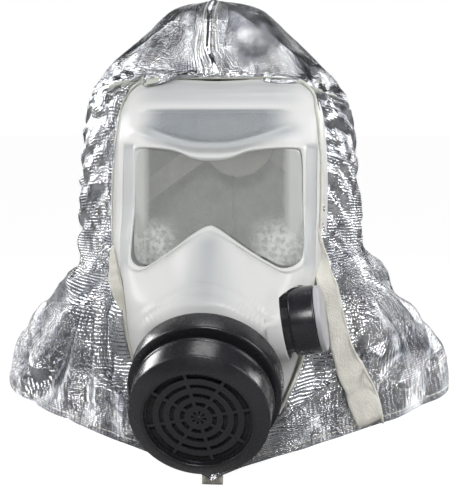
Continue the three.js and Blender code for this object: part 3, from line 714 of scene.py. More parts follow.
def lens_material():
    """Clear visor, hazier at the sides, with crumpled metal cloth behind its lower corners."""
    n = new_material("clear_visor")
    n.set(Base_Color=(0.72, 0.735, 0.72, 1), Roughness=0.06)
    sideways, _, height = n.split(n.coordinates())
    wide = n.math("ABSOLUTE", n.math("SUBTRACT", sideways, 0.003))
    edge = n.map(wide, 0.050, 0.056, 0.0, 0.34)
    corner = n.times(n.map(wide, 0.026, 0.042, 0.0, 1.0), n.map(height, 0.205, 0.188, 0.0, 0.9))
    glitter = n.times(corner, n.map(n.noise(260, 5), 0.42, 0.58, 0.24, 0.70))
    haze = n.map(n.noise(9, 2), 0.3, 0.7, 0.14, 0.20)
    n.drive(Alpha=n.plus(haze, n.math("MAXIMUM", edge, glitter)))
    return n.owner


FOIL = foil_material()
LINING = woven("lining_cloth", (0.60, 0.62, 0.56), (0.46, 0.49, 0.45), 0.0012)
CREAM = woven("cream_webbing", (0.72, 0.70, 0.64), (0.58, 0.57, 0.51), 0.0005)
ELASTIC = woven("elastic_cloth", (0.85, 0.84, 0.79), (0.76, 0.75, 0.70), 0.0010)
PAD = woven("pad_cloth", (0.80, 0.78, 0.70), (0.70, 0.68, 0.60), 0.0014)
SILICONE = silicone_material()
LENS = lens_material()
BLACK = moulded("black_housing", (0.016, 0.016, 0.019), 0.27, 0.04, 700, Specular_IOR_Level=0.5)
BLACK_SATIN = moulded("black_satin", (0.020, 0.020, 0.023), 0.42, 0.08, 600)
BUCKLE = moulded("buckle_plastic", (0.05, 0.05, 0.055), 0.5, 0.06)
GREY = moulded("grey_cap", (0.42, 0.42, 0.44), 0.42, 0.05)
RUBBER = moulded("dark_rubber", (0.035, 0.035, 0.038), 0.75, 0.10, 500)
MESH = moulded("black_mesh", (0.015, 0.015, 0.016), 0.85, 0.5, 1400)
CHARCOAL = moulded("charcoal_grains", (0.02, 0.02, 0.02), 0.95, 1.0, 500)
PAPER = moulded("filter_paper", (0.84, 0.83, 0.78), 0.9, 0.3, 300)
STEEL = moulded("perforated_steel", (0.55, 0.56, 0.57), 0.35, 0.03, Metallic=1.0)

# Materials of the CAD pieces that stay as they are, by the start of their names.
CAD_LOOKS = {
    "inner_half_mask": SILICONE, "port_nut": BLACK_SATIN, "inhalation_seat": BLACK_SATIN,
    "exhalation_seat": BLACK, "inhalation_disc": RUBBER, "exhalation_disc": RUBBER,
    "check_disc": RUBBER, "port_gasket": RUBBER, "rear_plate": STEEL, "front_plate": STEEL,
    "sorbent_bed": CHARCOAL, "particulate_filter": PAPER, "front_screen": MESH,
    "head_pad": PAD, "neck_elastic": ELASTIC, "strap": CREAM, "buckle": BUCKLE,
    "anchor": BUCKLE,
}


def give(obj, *materials):
    obj.data.materials.clear()
    for material in materials:
        obj.data.materials.append(material)


def place(obj, body, slot, *nodes):
    """Puts a piece on a body and in place of CAD nodes; the slot is not used."""
    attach(obj, body)
    if nodes:
        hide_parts(*nodes)


def finish(obj, material, body, slot, *nodes):
    give(obj, material)
    place(obj, body, slot, *nodes)


# ---- facepiece surface ----


def hood_front_y(x, z):
    """Front of the hood without its sideways shift, as the CAD part has it."""
    share = np.minimum(np.abs(x) / np.maximum(HALF(z), 1), 1)
    bulge = (1 - share ** ROUND(z)) ** (1 / ROUND(z))
    return (FRONT(z) + BACK(z)) / 2 - (BACK(z) - FRONT(z)) / 2 * bulge


def leaning(x):
    """Sideways stretch of the flexible window frame towards the wearer's left."""
    return WINDOW_LEAN * (x / 64) ** 2 * (1 - ease(66, 84, np.abs(x)))


def brow_height(wide):
    """Height of the brow's edge, which rises to both sides."""
    return BROW_LOW + BROW_RISE * ease(6, 66, wide)


def from_port_axis(x, y, z):
    """Distance from the filter port's axis."""
    offset = np.stack(np.broadcast_arrays(x, y, z), -1) - PORT_CENTRE
    distance = offset @ PORT_AXIS
    return np.linalg.norm(offset - distance[..., None] * PORT_AXIS, axis=-1)


def face_y(x, z):
    """Front surface of the facepiece, as the CAD part has it, with its moulded relief."""
    dx, dz = x - FACE_CENTRE[0], z - FACE_CENTRE[1]
    angle = np.arctan2(dz, dx)
    radius = np.interp(angle, *RIM_POLAR)
    share = np.clip(np.hypot(dx, dz) / radius, 0, 1)
    rim_x, rim_z = FACE_CENTRE[0] + radius * np.cos(angle), FACE_CENTRE[1] + radius * np.sin(angle)
    flatness = np.where(rim_z > 0, 3.4, 3.4 + 3 * np.minimum(-rim_z / 120, 1))
    rise = 1 - (1 - share**flatness) ** 0.75
    y = SPINE_Y(z) * (1 - rise) + (hood_front_y(rim_x, rim_z) + 1) * rise

    # Hollow cheeks below the window, and the forehead's sunken panel with its brow and groove.
    wide = np.abs(x)
    cheek = 8.5 * bump(z, -44, 24) * within(6, 34, 44, 64, wide)
    brow_z = brow_height(wide)
    panel = ease(0, 2.4, z - brow_z) * (1 - ease(69, 72, z)) * (1 - ease(46, 66, wide))
    brow = 3.2 * panel - 1.6 * bump(z, brow_z - 3.5, 3.5) * (1 - ease(58, 68, wide))
    groove = 0.9 * bump(z, 84, 1.6) * (1 - ease(50, 66, wide))

    # Thinner bands beside the window, and a raised bead outside them.
    tall = within(-52, -44, 42, 45, z)
    wide = np.abs(x - leaning(x))
    side = 1.9 * within(64.8, 66.2, 74.4, 75.8, wide) * tall
    edge = -1.5 * bump(wide, 78.6, 2.4) * within(-70, -40, 66, 80, z)

    r = from_port_axis(x, y, z)
    collar = sum(-COLLAR_STEP * (1 - ease(step, step + COLLAR_BLEND, r)) for step in COLLAR_RADII)
    collar *= within(-150, -120, -60, -45, z) * (1 - ease(46, 58, wide))
    return y + cheek + brow + groove + side + edge + collar


# ---- hood ----


def rim_lift(z, side):
    """How far outside the facepiece rim the cloth's edge runs; negative where it laps over."""
    if side > 0:
        return 3.2 - 6.6 * ease(-52, -24, z)
    return 2.6 * (1 - ease(-130, -105, z)) - 1.5 - 7.0 * bump(z, -66, 28)


def cloth_edge(side):
    """The cloth's edge round one half of the facepiece rim, from the bottom up, as [x, z]."""
    half = RIM_CURVE[: len(RIM_CURVE) // 2 + 1][::-1]
    out = unit(np.gradient(half, axis=0))
    lift = rim_lift(half[:, 1], side)
    top = ease(70, 90, half[:, 1])
    lift = lift + (1.2 * top - lift * top)
    half = half + lift[:, None] * np.stack([out[:, 1], -out[:, 0]], 1)
    half[:, 0] = np.maximum(half[:, 0], 0)
    return half


def rim_rows():
    """Which rows start on the facepiece rim."""
    v = np.linspace(0, 1, HOOD_ROWS)
    return (v >= HEM_SHARE) & (v <= HEM_SHARE + MASK_SHARE)


def row_start(v, edge):
    """Start of a row as x and z: up the front seam, round the rim, then up the crown seam."""
    low, high = HEM_SHARE, HEM_SHARE + MASK_SHARE
    if v < low:
        return 0.0, HEM_LOW + (edge[0, 1] - HEM_LOW) * v / low
    if v > high:
        return 0.0, edge[-1, 1] + (CROWN - edge[-1, 1]) * ((v - high) / (1 - high)) ** CROWN_SPACING
    share = (v - low) / (high - low)
    late = LATE * (1 - math.exp(-share / LATE_SPAN))
    k = (share - late) / LATE_REST * (len(edge) - 1)
    return along(edge, np.arange(len(edge)), k)


def hood_shape(side):
    """Points of one half as rows (hem to crown) by columns (front edge to back seam)."""
    points = np.zeros((HOOD_ROWS, HOOD_COLUMNS, 3))
    u = np.linspace(0, 1, HOOD_COLUMNS)
    crown_share = 1 - HEM_SHARE - MASK_SHARE
    below = np.full(HOOD_COLUMNS, -math.inf)
    edge = cloth_edge(side)
    for r, on_rim in enumerate(rim_rows()):
        v = r / (HOOD_ROWS - 1)
        front_x, front_z = row_start(v, edge)
        back_z = HEM_LOW + (CROWN - HEM_LOW) * v ** BACK_SPACING
        arch = max((HEM_SIDE - HEM_LOW) * (1 - v / HEM_ARCH), 0.0)
        z = front_z + (back_z - front_z) * ease(0, 1, u)
        z = z + arch * (1 - np.abs(2 * u - 1) ** HEM_ARCH_POWER)
        z = np.maximum(z, below + ROW_STEP * ease(-0.05, 0.25, u) * (1 - ease(0.35, 0.5, v)))
        below = z
        half = HALF(z)
        free = 0.0 if on_rim else float(ease(0, 0.3, abs(v - HEM_SHARE - MASK_SHARE) / crown_share))
        shift = SHIFT(z) * (free + (1 - free) * ease(0, 0.16, u))
        start = math.asin(min(front_x / max(half[0], 0.01), 1) ** (ROUND(z[0]) / 2))
        turn = math.pi * u + start * (1 - u) * np.exp(-math.pi * u / (1.2 * start + 0.05))
        power = 2 / ROUND(z)
        x = half * np.sin(turn) ** power
        middle, depth = (FRONT(z) + BACK(z)) / 2, (BACK(z) - FRONT(z)) / 2
        y = middle - depth * np.sign(np.cos(turn)) * np.abs(np.cos(turn)) ** power
        points[r] = np.stack([side * x + shift, y, z], 1)
        if on_rim:
            far = lengths(points[r])
            over = min(face_y(side * front_x, front_z) - 2.2 - points[r, 0, 1], 0.0)
            points[r, :, 1] += over * (1 - ease(1, 12, far))
    return points


def hood_grid():
    """Points and vertex numbers by row and column, vertex count, and column of the back seam.

    Columns run from the left half's front edge round the back to the right half's front edge. The
    two halves share their vertices along the front seams, the back seam and the crown."""
    left, right = hood_shape(1), hood_shape(-1)
    grid = np.concatenate([left, right[:, -2::-1]], 1)
    rows, columns = grid.shape[:2]
    number = np.arange(rows * columns).reshape(rows, columns)
    joined = ~rim_rows()
    number[joined, -1] = number[joined, 0]
    number[-1] = [number[-1, min(c, columns - 1 - c)] for c in range(columns)]
    used, packed = np.unique(number, return_inverse=True)
    return grid, packed.reshape(rows, columns), len(used), HOOD_COLUMNS - 1


def distance_from_front(grid, seam):
    """Length of cloth between each grid point and its half's front edge."""
    steps = np.linalg.norm(np.diff(grid, axis=1), axis=2)
    left = np.cumsum(steps[:, :seam], 1)
    right = np.cumsum(steps[:, seam:][:, ::-1], 1)[:, ::-1]
    edge = np.zeros((len(grid), 1))
    return np.concatenate([edge, left, right[:, 1:], edge], 1)


def pleats(phase, sharp=0.8):
    """Rounded folds with narrow valleys, -1..1, one per turn of phase."""
    return 2 * np.abs(np.sin(phase / 2)) ** sharp - 1


def beside_line(x, z, start, end):
    """Distance beside a line in the front view, and share of the way along it."""
    run_x, run_z = end[0] - start[0], end[1] - start[1]
    length = math.hypot(run_x, run_z)
    dx, dz = x - start[0], z - start[1]
    return (dx * run_z - dz * run_x) / length, (dx * run_x + dz * run_z) / length**2


def drawn_folds(x, z):
    """Height of the cape's broad front folds."""
    total = np.zeros_like(x)
    for start, end, narrow, broad, height in DRAWN_FOLDS:
        off, share = beside_line(x, z, start, end)
        width = narrow + (broad - narrow) * np.clip(share, 0, 1)
        total += height * bump(off, 0, width) * within(-0.08, 0.12, 0.9, 1.15, share)
    return total


def gathers_beside_mask(grid, far, warp):
    """Cloth bunched by the binding beside the facepiece, in two crossing runs of folds."""
    z = grid[..., 2]
    phase = 2 * math.pi * (z + 0.62 * far + 1.5 * warp) / (17 + 0.04 * far)
    strength = 0.35 + 1.5 * np.abs(noise3(grid, 30, 13))
    cross = 2 * math.pi * (z - 0.35 * far + 1.8 * warp) / 23
    height = 3.4 * pleats(phase, 0.7) * strength + 1.7 * pleats(cross, 0.7) * (1.2 - strength)
    height *= ease(0, 10, far) * (1 - 0.7 * ease(80, 180, far))
    return height * within(-74, -50, 84, 104, z)


def fanned_folds(grid, far, warp, seam):
    """Folds that fan out below the neck elastic at the sides and hang straight at the back."""
    y, z = grid[..., 1], grid[..., 2]
    left = np.arange(grid.shape[1])[None, :] <= seam
    gather_point, neck = [np.where(left, *pair) for pair in zip(*GATHER_POINTS)]
    reach, drop = far - gather_point, neck - z
    radius = np.hypot(reach, drop)
    below = ease(0, 22, drop)
    fan = 5.0 * pleats(np.arctan2(reach, np.maximum(drop, 1)) * 11 + warp * 0.10, 1.0)
    fan *= ease(4, 55, radius) * (1 - 0.5 * ease(90, 170, radius)) * below
    fan *= (1 - ease(120, 170, far)) * ease(50, 80, y)
    hanging = 3.4 * pleats(2 * math.pi * (far + warp * 1.6) / 44) * below * ease(110, 170, far)
    cinch = -3.4 * bump(z, neck + 2, 8) * ease(4, 30, far)
    return fan + hanging + cinch


def fold_heights(grid, seam):
    """How far the gathers, facets and pleats stand off the smooth hood at each grid point."""
    x, y, z = grid[..., 0], grid[..., 1], grid[..., 2]
    far = distance_from_front(grid, seam)
    warp = 9 * noise3(grid, 42, 11) + 4 * noise3(grid, 19, 12)
    tucks = 1.1 * pleats(2 * math.pi * (x + 0.3 * warp) / 7.5) * (1 - ease(7, 20, far)) * ease(66, 82, z)
    drawn = drawn_folds(x + 0.25 * warp, z) * (1 - ease(90, 120, y))

    # Two flat facets over the forehead, and the casing along the facepiece's edge.
    line = (z - 92) * 0.79 - (90 - np.abs(x - SHIFT(z))) * 0.61
    facet = 3.4 * np.exp(-np.abs(line) / 8) - 2.6 * bump(line, 24, 13)
    facet *= (1 - ease(95, 135, y)) * ease(90, 104, z)
    casing = (3.4 * bump(far, 7, 5) - 2.2 * bump(far, 17, 4)) * rim_rows()[:, None]
    casing *= (0.45 + 0.55 * ease(50, 80, z)) * ease(-90, -40, z)
    lumps = (3.2 * noise3(grid, 58, 41) + 1.6 * noise3(grid, 27, 42)) * ease(3, 25, far)
    gathers = gathers_beside_mask(grid, far, warp)
    return gathers + tucks + fanned_folds(grid, far, warp, seam) + drawn + facet + casing + lumps


def grid_normals(grid):
    """Outward direction at each grid point."""
    normal = np.cross(np.gradient(grid, axis=1), np.gradient(grid, axis=0))
    return normal / np.maximum(np.linalg.norm(normal, axis=2, keepdims=True), 1e-9)


def grid_quads(number):
    """Faces between numbered grid points, with corners that share a vertex merged."""
    quads = []
    for r in range(number.shape[0] - 1):
        for c in range(number.shape[1] - 1):
            quad = (number[r, c], number[r, c + 1], number[r + 1, c + 1], number[r + 1, c])
            kept = [q for k, q in enumerate(quad) if q != quad[k - 1]]
            if len(set(kept)) >= 3:
                quads.append(tuple(kept))
    return quads


def smooth_crown(cloth, smooth):
    """The cloth runs out smoothly to the point where the seams meet."""
    share = ease(0.90, 0.97, np.linspace(0, 1, len(cloth)))[:, None, None]
    return cloth + (smooth - cloth) * share


def keep_weights(grid, seam):
    """How firmly each point keeps its place while the cloth settles."""
    on_rim = rim_rows()
    keep = np.full(grid.shape[:2], KEEP["cloth"])
    keep += KEEP["near_neck"] * bump(grid[..., 2], NECK_Z, 12)
    keep[:4] = KEEP["hem"]
    keep[:, seam] = KEEP["back_seam"]
    keep[-1] = KEEP["seams"]
    for edge in (0, -1):
        keep[:, edge] = np.where(on_rim, KEEP["rim"], KEEP["seams"])
    return keep


def settle(points, number, keep, form_grid):
    """Runs the cloth simulation over the inner form and returns where the points end."""
    cloth = mesh_object("cloth", points, grid_quads(number))
    weights = np.zeros(len(points))
    weights[number.reshape(-1)] = keep.reshape(-1)
    group = cloth.vertex_groups.new(name="keep")
    for index, weight in enumerate(weights):
        group.add([index], float(weight), "REPLACE")

    form = mesh_object("inner_form", form_grid.reshape(-1, 3), grid_faces(*form_grid.shape[:2]))
    form.modifiers.new("collision", "COLLISION")
    form.collision.thickness_outer = FORM_SKIN
    form.collision.cloth_friction = FORM_FRICTION

    modifier = cloth.modifiers.new("cloth", "CLOTH")
    for name, value in CLOTH_SETTINGS.items():
        setattr(modifier.settings, name, value)
    modifier.collision_settings.distance_min = CLOTH_GAP
    modifier.collision_settings.use_self_collision = False
    modifier.point_cache.frame_start = 1
    modifier.point_cache.frame_end = SIM_FRAMES
    scene = bpy.context.scene
    scene.frame_start, scene.frame_end = 1, SIM_FRAMES
    for moment in range(1, SIM_FRAMES + 1):
        scene.frame_set(moment)
    result = cloth.evaluated_get(bpy.context.evaluated_depsgraph_get()).to_mesh()
    moved = (vertex_values(result) - ORIGIN) * 1000
    scene.frame_set(1)
    bpy.data.objects.remove(cloth)
    bpy.data.objects.remove(form)
    return moved


def draped_hood():
    """Grid of the folded hood, settled over an inner form, and the column of its back seam."""
    grid, number, count, seam = hood_grid()
    start = grid + grid_normals(grid) * fold_heights(grid, seam)[..., None]
    on_rim = rim_rows()
    for edge in (0, -1):
        start[on_rim, edge] = grid[on_rim, edge]
    start[~on_rim, 0] = start[~on_rim, -1]
    start[-1] = grid[-1]
    points = np.zeros((count, 3))
    points[number.reshape(-1)] = start.reshape(-1, 3)
    form_grid = grid - grid_normals(grid) * FORM_INSET
    moved = settle(points, number, keep_weights(grid, seam), form_grid)
    return smooth_crown(moved[number], grid), seam


def crumple(obj):
    """Fine foil crinkles pressed into a refined panel."""
    mesh = obj.data
    co = vertex_values(mesh)
    points = (co - ORIGIN) * 1000
    z = points[:, 2]
    beside_mask = within(-80, -50, 90, 120, z) * (1 - ease(90, 130, points[:, 1]))
    lift = CRINKLE + CRINKLE_BESIDE_MASK * beside_mask
    lift *= creases(points, 14, 21) + 0.5 * creases(points, 6.5, 33)
    co += vertex_values(mesh, "normal") * (lift / 1000)[:, None]
    mesh.vertices.foreach_set("co", co.reshape(-1).astype(np.float32))
    mesh.update()


def hood_panel(name, part):
    """One panel: its columns of the draped grid, refined, crumpled and given thickness."""
    rows, columns = part.shape[:2]
    obj = mesh_object(name, part.reshape(-1, 3), grid_faces(rows, columns))
    across = np.cumsum(np.linalg.norm(np.diff(part, axis=1), axis=2).mean(0))
    upward = np.cumsum(np.linalg.norm(np.diff(part, axis=0), axis=2).mean(1))
    across, upward = np.concatenate([[0], across]), np.concatenate([[0], upward])
    uv = np.stack(np.broadcast_arrays(across[None, :], upward[:, None]), 2).reshape(-1, 2)
    layer = obj.data.uv_layers.new(name="cloth")
    loops = np.zeros(len(obj.data.loops), np.int32)
    obj.data.loops.foreach_get("vertex_index", loops)
    layer.data.foreach_set("uv", uv[loops].reshape(-1).astype(np.float32))
    subdivide = obj.modifiers.new("smooth", "SUBSURF")
    subdivide.levels = subdivide.render_levels = 1
    apply_modifiers(obj)
    crumple(obj)
    give(obj, FOIL, LINING)
    solid = obj.modifiers.new("cloth", "SOLIDIFY")
    solid.thickness = CLOTH_THICK / 1000
    solid.offset = -1
    solid.material_offset = 1
    solid.material_offset_rim = 1
    apply_modifiers(obj)
    for polygon in obj.data.polygons:
        _, y, z = (np.array(polygon.center) - ORIGIN) * 1000
        if y < FACING_DEPTH and z < FACING_TOP:
            polygon.material_index = 0
    return obj


def stitches(name, line, outward, length, pitch, lift):
    """Row of short thread stitches along a line, each a three-ring arch of thread."""
    sides = 5
    distance = lengths(line)
    turns = 2 * math.pi * np.arange(sides)[:, None] / sides
    points, faces = [], []
    for start in np.arange(0, distance[-1] - length, pitch):
        places = (start, start + length / 2, start + length)
        spots = [along(line, distance, t) for t in places]
        outs = [unit(along(outward, distance, t)) for t in places]
        run = unit(spots[2] - spots[0])
        base = len(points)
        for k, (spot, out) in enumerate(zip(spots, outs)):
            raised = spot + out * (lift + (THREAD if k == 1 else -THREAD * 0.5))
            points += list(raised + THREAD * (np.cos(turns) * np.cross(run, out) + np.sin(turns) * out))
        faces += [tuple(base + k for k in face) for face in grid_faces(3, sides, False, True)]
        faces.append(tuple(base + t for t in reversed(range(sides))))
        faces.append(tuple(base + 2 * sides + t for t in range(sides)))
    return closed_object(name, np.array(points), faces)


def resting_on(cloth, x, z, gap):
    """Point in front of the cloth at x and z."""
    near = cloth.reshape(-1, 3)
    near = near[near[:, 1] < FRONT_DEPTH]
    distance = np.hypot(near[:, 0] - x, near[:, 2] - z)
    y = near[distance < max(5, distance.min() + 1), 1].min()
    return np.array([x, y - gap, z])


def cloth_strip(name, cloth, path, rumple):
    """Soft strip along [x, z, width] points in front of the metal cloth, and its outer edge."""
    path = np.array(path, float)
    steps = np.linspace(0, len(path) - 1, STRIP_STEPS)
    x, z, width = along(path, np.arange(len(path)), steps)
    line = np.array([resting_on(cloth, a, b, STRIP_GAP) for a, b in zip(x, z)])
    for _ in range(6):
        line[1:-1, 1] = np.convolve(line[:, 1], [0.25, 0.5, 0.25], "valid")
    line[:, 1] += rumple * noise3(line, 12, 61)
    width = width + rumple * noise3(line, 12, 62)
    sideways, upward = 0.25 + 0.25 * noise3(line, 16, 63), 0.1 + 0.3 * noise3(line, 10, 64)
    outward = np.stack([sideways, np.full(STRIP_STEPS, -1.0), upward], 1)
    strip = band(name, line, outward, width, STRIP_THICK, 12)
    return strip, line + width[:, None] * [0.5, 0.13, 0.0] - [0, 1.2, 0]


def make_strips(grid, seam):
    strip, edge = cloth_strip("turned_out_lining", grid[:, :seam], LINING_PATH, 1.4)
    finish(strip, CREAM, "hood", "cream", "lining_strip")
    finish(cord("lining_piping", edge, PIPING_RADIUS, 8), CREAM, "hood", "cream")
    strip, _ = cloth_strip("binding_fullness", grid[:, seam:], FULLNESS_PATH, 1.0)
    finish(strip, CREAM, "hood", "cream")


def make_seams(grid, seam):
    """Seam ridges over the crown and down the back, and the rows of stitches."""
    normal = grid_normals(grid)
    crown = np.linspace(0, 1, len(grid)) > HEM_SHARE + MASK_SHARE
    line = (grid[crown, 0] + grid[crown, -1])[:-1] / 2
    out = (normal[crown, 0] + normal[crown, -1])[:-1]
    out[:, 0] = 0
    out /= np.maximum(np.linalg.norm(out, axis=1), 1e-6)[:, None]
    ridge = band("crown_seam_ridge", line + out * SEAM_LIFT, out, SEAM_WIDTH, CROWN_THICK, 5)
    finish(ridge, FOIL, "hood", "foil", "crown_seam")
    for side, name in ((1, "crown_stitches_left"), (-1, "crown_stitches_right")):
        beside = line + np.array([side * CROWN_STITCH_SIDE, 0, -0.6])
        finish(stitches(name, beside, out, **CROWN_STITCH), CREAM, "hood", "cream")
    line, out = grid[4:-1, seam], normal[4:-1, seam]
    ridge = band("back_seam_ridge", line + out * SEAM_LIFT, out, SEAM_WIDTH, BACK_THICK, 5)
    finish(ridge, FOIL, "hood", "foil", "back_seam")
    line, out = grid[HEM_STITCH_ROW], normal[HEM_STITCH_ROW]
    halves = {"hem_stitches_left": slice(0, seam), "hem_stitches_right": slice(seam, None)}
    for name, part in halves.items():
        finish(stitches(name, line[part], out[part], **HEM_STITCH), CREAM, "hood", "cream")


def make_binding(grid):
    """Cream binding along the metal cloth's edge round the facepiece, tucked under higher up."""
    on_rim = rim_rows()
    left, right = grid[on_rim, 0], grid[on_rim, -1]
    loop = np.concatenate([left[:-2], right[-3:0:-1]])
    tucked = np.where(loop[:, 0] > 0, ease(20, 36, loop[:, 2]), ease(-48, -36, loop[:, 2]))
    loop[:, 1] += -BINDING_OUT + BINDING_TUCK * tucked
    rope = cord("edge_binding_cord", loop, BINDING_RADIUS, closed=True)
    finish(rope, CREAM, "hood", "cream", "face_opening_binding")


def make_hem_tab(grid):
    """Folded webbing tab behind the lowest point of the front hem."""
    low = grid[0, 0] + np.array([0, 3.2, HEM_TAB_LOW - grid[0, 0, 2]])
    line = low + np.outer(np.linspace(0, 1, HEM_TAB_STEPS), [0, 1.5, HEM_TAB_LENGTH])
    outward = np.tile([0.0, -1.0, 0.0], (HEM_TAB_STEPS, 1))
    tab = band("hem_tab_webbing", line, outward, HEM_TAB_WIDTH, HEM_TAB_THICK)
    finish(tab, CREAM, "hood", "cream", "hem_tab")


def make_hood():
    grid, seam = draped_hood()
    place(hood_panel("hood_left", grid[:, : seam + 1]), "hood", "foil", "hood_left_panel")
    place(hood_panel("hood_right", grid[:, seam:]), "hood", "foil", "hood_right_panel")
    make_seams(grid, seam)
    make_strips(grid, seam)
    make_binding(grid)
    make_hem_tab(grid)


# ---- facepiece ----


def visor_outline(count):
    outline = closed_curve(VISOR, count)
    outline[:, 0] += leaning(outline[:, 0])
    return outline


def visor_and_rim():
    """Matching points on the visor opening and the rim, by angle about the opening's centre."""
    visor = visor_outline(FACE_AROUND)
    angle = np.arctan2(visor[:, 1] - VISOR_CENTRE[1], visor[:, 0] - VISOR_CENTRE[0])
    radius = np.interp(angle, *polar(RIM_CURVE, VISOR_CENTRE))[:, None]
    rim = VISOR_CENTRE + radius * np.stack([np.cos(angle), np.sin(angle)], 1)
    return visor, rim


def wall_depth(x, z):
    """How far back the inner surface lies, measured along Y, for an even wall."""
    step = 0.5
    slope_x = (face_y(x + step, z) - face_y(x - step, z)) / (2 * step)
    slope_z = (face_y(x, z + step) - face_y(x, z - step)) / (2 * step)
    return FACE_WALL * np.minimum(np.sqrt(1 + slope_x**2 + slope_z**2), STEEPEST)


def facepiece_object():
    """Silicone wall from the rim to the visor opening and back inside, with the seal flap."""
    visor, rim = visor_and_rim()
    span = rim - visor
    s = (np.linspace(0, 1, FACE_ACROSS) ** FACE_SPACING)[:, None, None]
    xz = visor + span * s
    bead = BEAD_HEIGHT * bump(np.linalg.norm(xz - visor, axis=2), BEAD_AT, BEAD_WIDTH)
    outer = np.stack([xz[..., 0], face_y(xz[..., 0], xz[..., 1]) - bead, xz[..., 1]], 2)
    inset = 1 - RIM_INSET / np.linalg.norm(span, axis=1)[:, None]
    xz = visor + span * s * inset
    y = face_y(xz[..., 0], xz[..., 1]) + wall_depth(xz[..., 0], xz[..., 1])
    inner = np.stack([xz[..., 0], y, xz[..., 1]], 2)
    lip = (outer[0] + inner[0]) / 2
    lip[:, [0, 2]] -= unit(span) * LIP
    towards = np.array([0.0, 0.0, FACE_CENTRE[1]]) - outer[-1]
    towards[:, 1] = 0
    towards = unit(towards)
    back = np.array([0.0, 1.0, 0.0])
    flap = [outer[-1] + towards * a + back * b for a, b in FLAP]
    points = np.stack([lip, *outer, *flap, *inner[::-1]])
    faces = grid_faces(len(points), FACE_AROUND, True, True)
    return closed_object("facepiece_shell", points.reshape(-1, 3), faces)


def paint_milk_and_shade(obj):
    """How milky the silicone is at each vertex, as an attribute that the material reads for its alpha
    and its colour. Low values down the nose also paint shade there.
    """
    x, y, z = ((vertex_values(obj.data) - ORIGIN) * 1000).T
    wide = np.abs(x)
    brow_z = brow_height(wide)
    forehead = ease(-1, 3, z - brow_z) * (1 - ease(67, 74, z)) * (1 - ease(34, 62, wide))
    upper = within(72, 80, 88, 96, z) * (1 - ease(40, 70, wide))
    wide = np.abs(x - leaning(x))
    brow = bump(z, brow_z - 2, 5) * (1 - ease(50, 66, wide))
    bands = within(64.8, 65.8, 74.6, 75.8, wide) * within(-55, -44, 42, 47, z)
    # Painted shade down the nose's crest: this strip is made less milky, so it shows more of the inside
    # and takes the darker colour.
    nose_thin_and_painted_shade = bump(x, 0, 8 + 0.16 * np.abs(z + 16)) * within(-82, -66, -30, -16, z)
    opacity = 0.95 - 0.22 * brow - 0.44 * forehead - 0.16 * upper - 0.14 * bands - 0.22 * nose_thin_and_painted_shade
    alpha = 1 - np.sqrt(1 - opacity)      # light passes two walls
    attribute = obj.data.attributes.new("milk_and_shade", "FLOAT", "POINT")
    attribute.data.foreach_set("value", alpha.astype(np.float32))


def lens_y(x):
    """A smooth cylinder-like sheet that follows the opening's edge."""
    return 15.0 * (np.abs(x) / 66) ** 2.4 - 1.0


def lens_object():
    """Clear visor: two matching surfaces joined round the edge, just inside the opening."""
    reach = visor_outline(LENS_AROUND) - LENS_CENTRE
    reach *= (1 - LENS_GAP / np.linalg.norm(reach, axis=1))[:, None]
    shares = np.linspace(0.02, 1, LENS_RINGS)
    rings = []
    for push, order in zip(LENS_FACES, (shares, shares[::-1])):
        for share in order:
            x, z = (LENS_CENTRE + reach * share).T
            rings.append(np.stack([x, lens_y(x) + push, z], 1))
    points = np.concatenate(rings)
    faces = grid_faces(len(rings), LENS_AROUND, False, True)
    ends = np.array([rings[0].mean(0), rings[-1].mean(0)])
    points = closed_fans(points, faces, LENS_AROUND, ends)
    return closed_object("clear_visor_lens", points, faces)


def make_face():
    shell = facepiece_object()
    boolean(shell, turned("socket", VALVE_SOCKET, VALVE_CENTRE, VALVE_AXIS, 96, 0.7), "UNION")
    holes = [(PORT_CENTRE, PORT_AXIS, *hole) for hole in PORT_HOLES]
    holes += [(VALVE_CENTRE, VALVE_AXIS, *hole) for hole in VALVE_HOLES]
    for centre, axis, radius, start, end in holes:
        disc = [[0, start], [radius, start], [radius, end], [0, end]]
        boolean(shell, turned("cutter", disc, centre, axis, 96, 0))
    paint_milk_and_shade(shell)
    finish(shell, SILICONE, "hood", "silicone", "facepiece")
    finish(lens_object(), LENS, "hood", "lens", "visor_lens")


# ---- turned parts ----


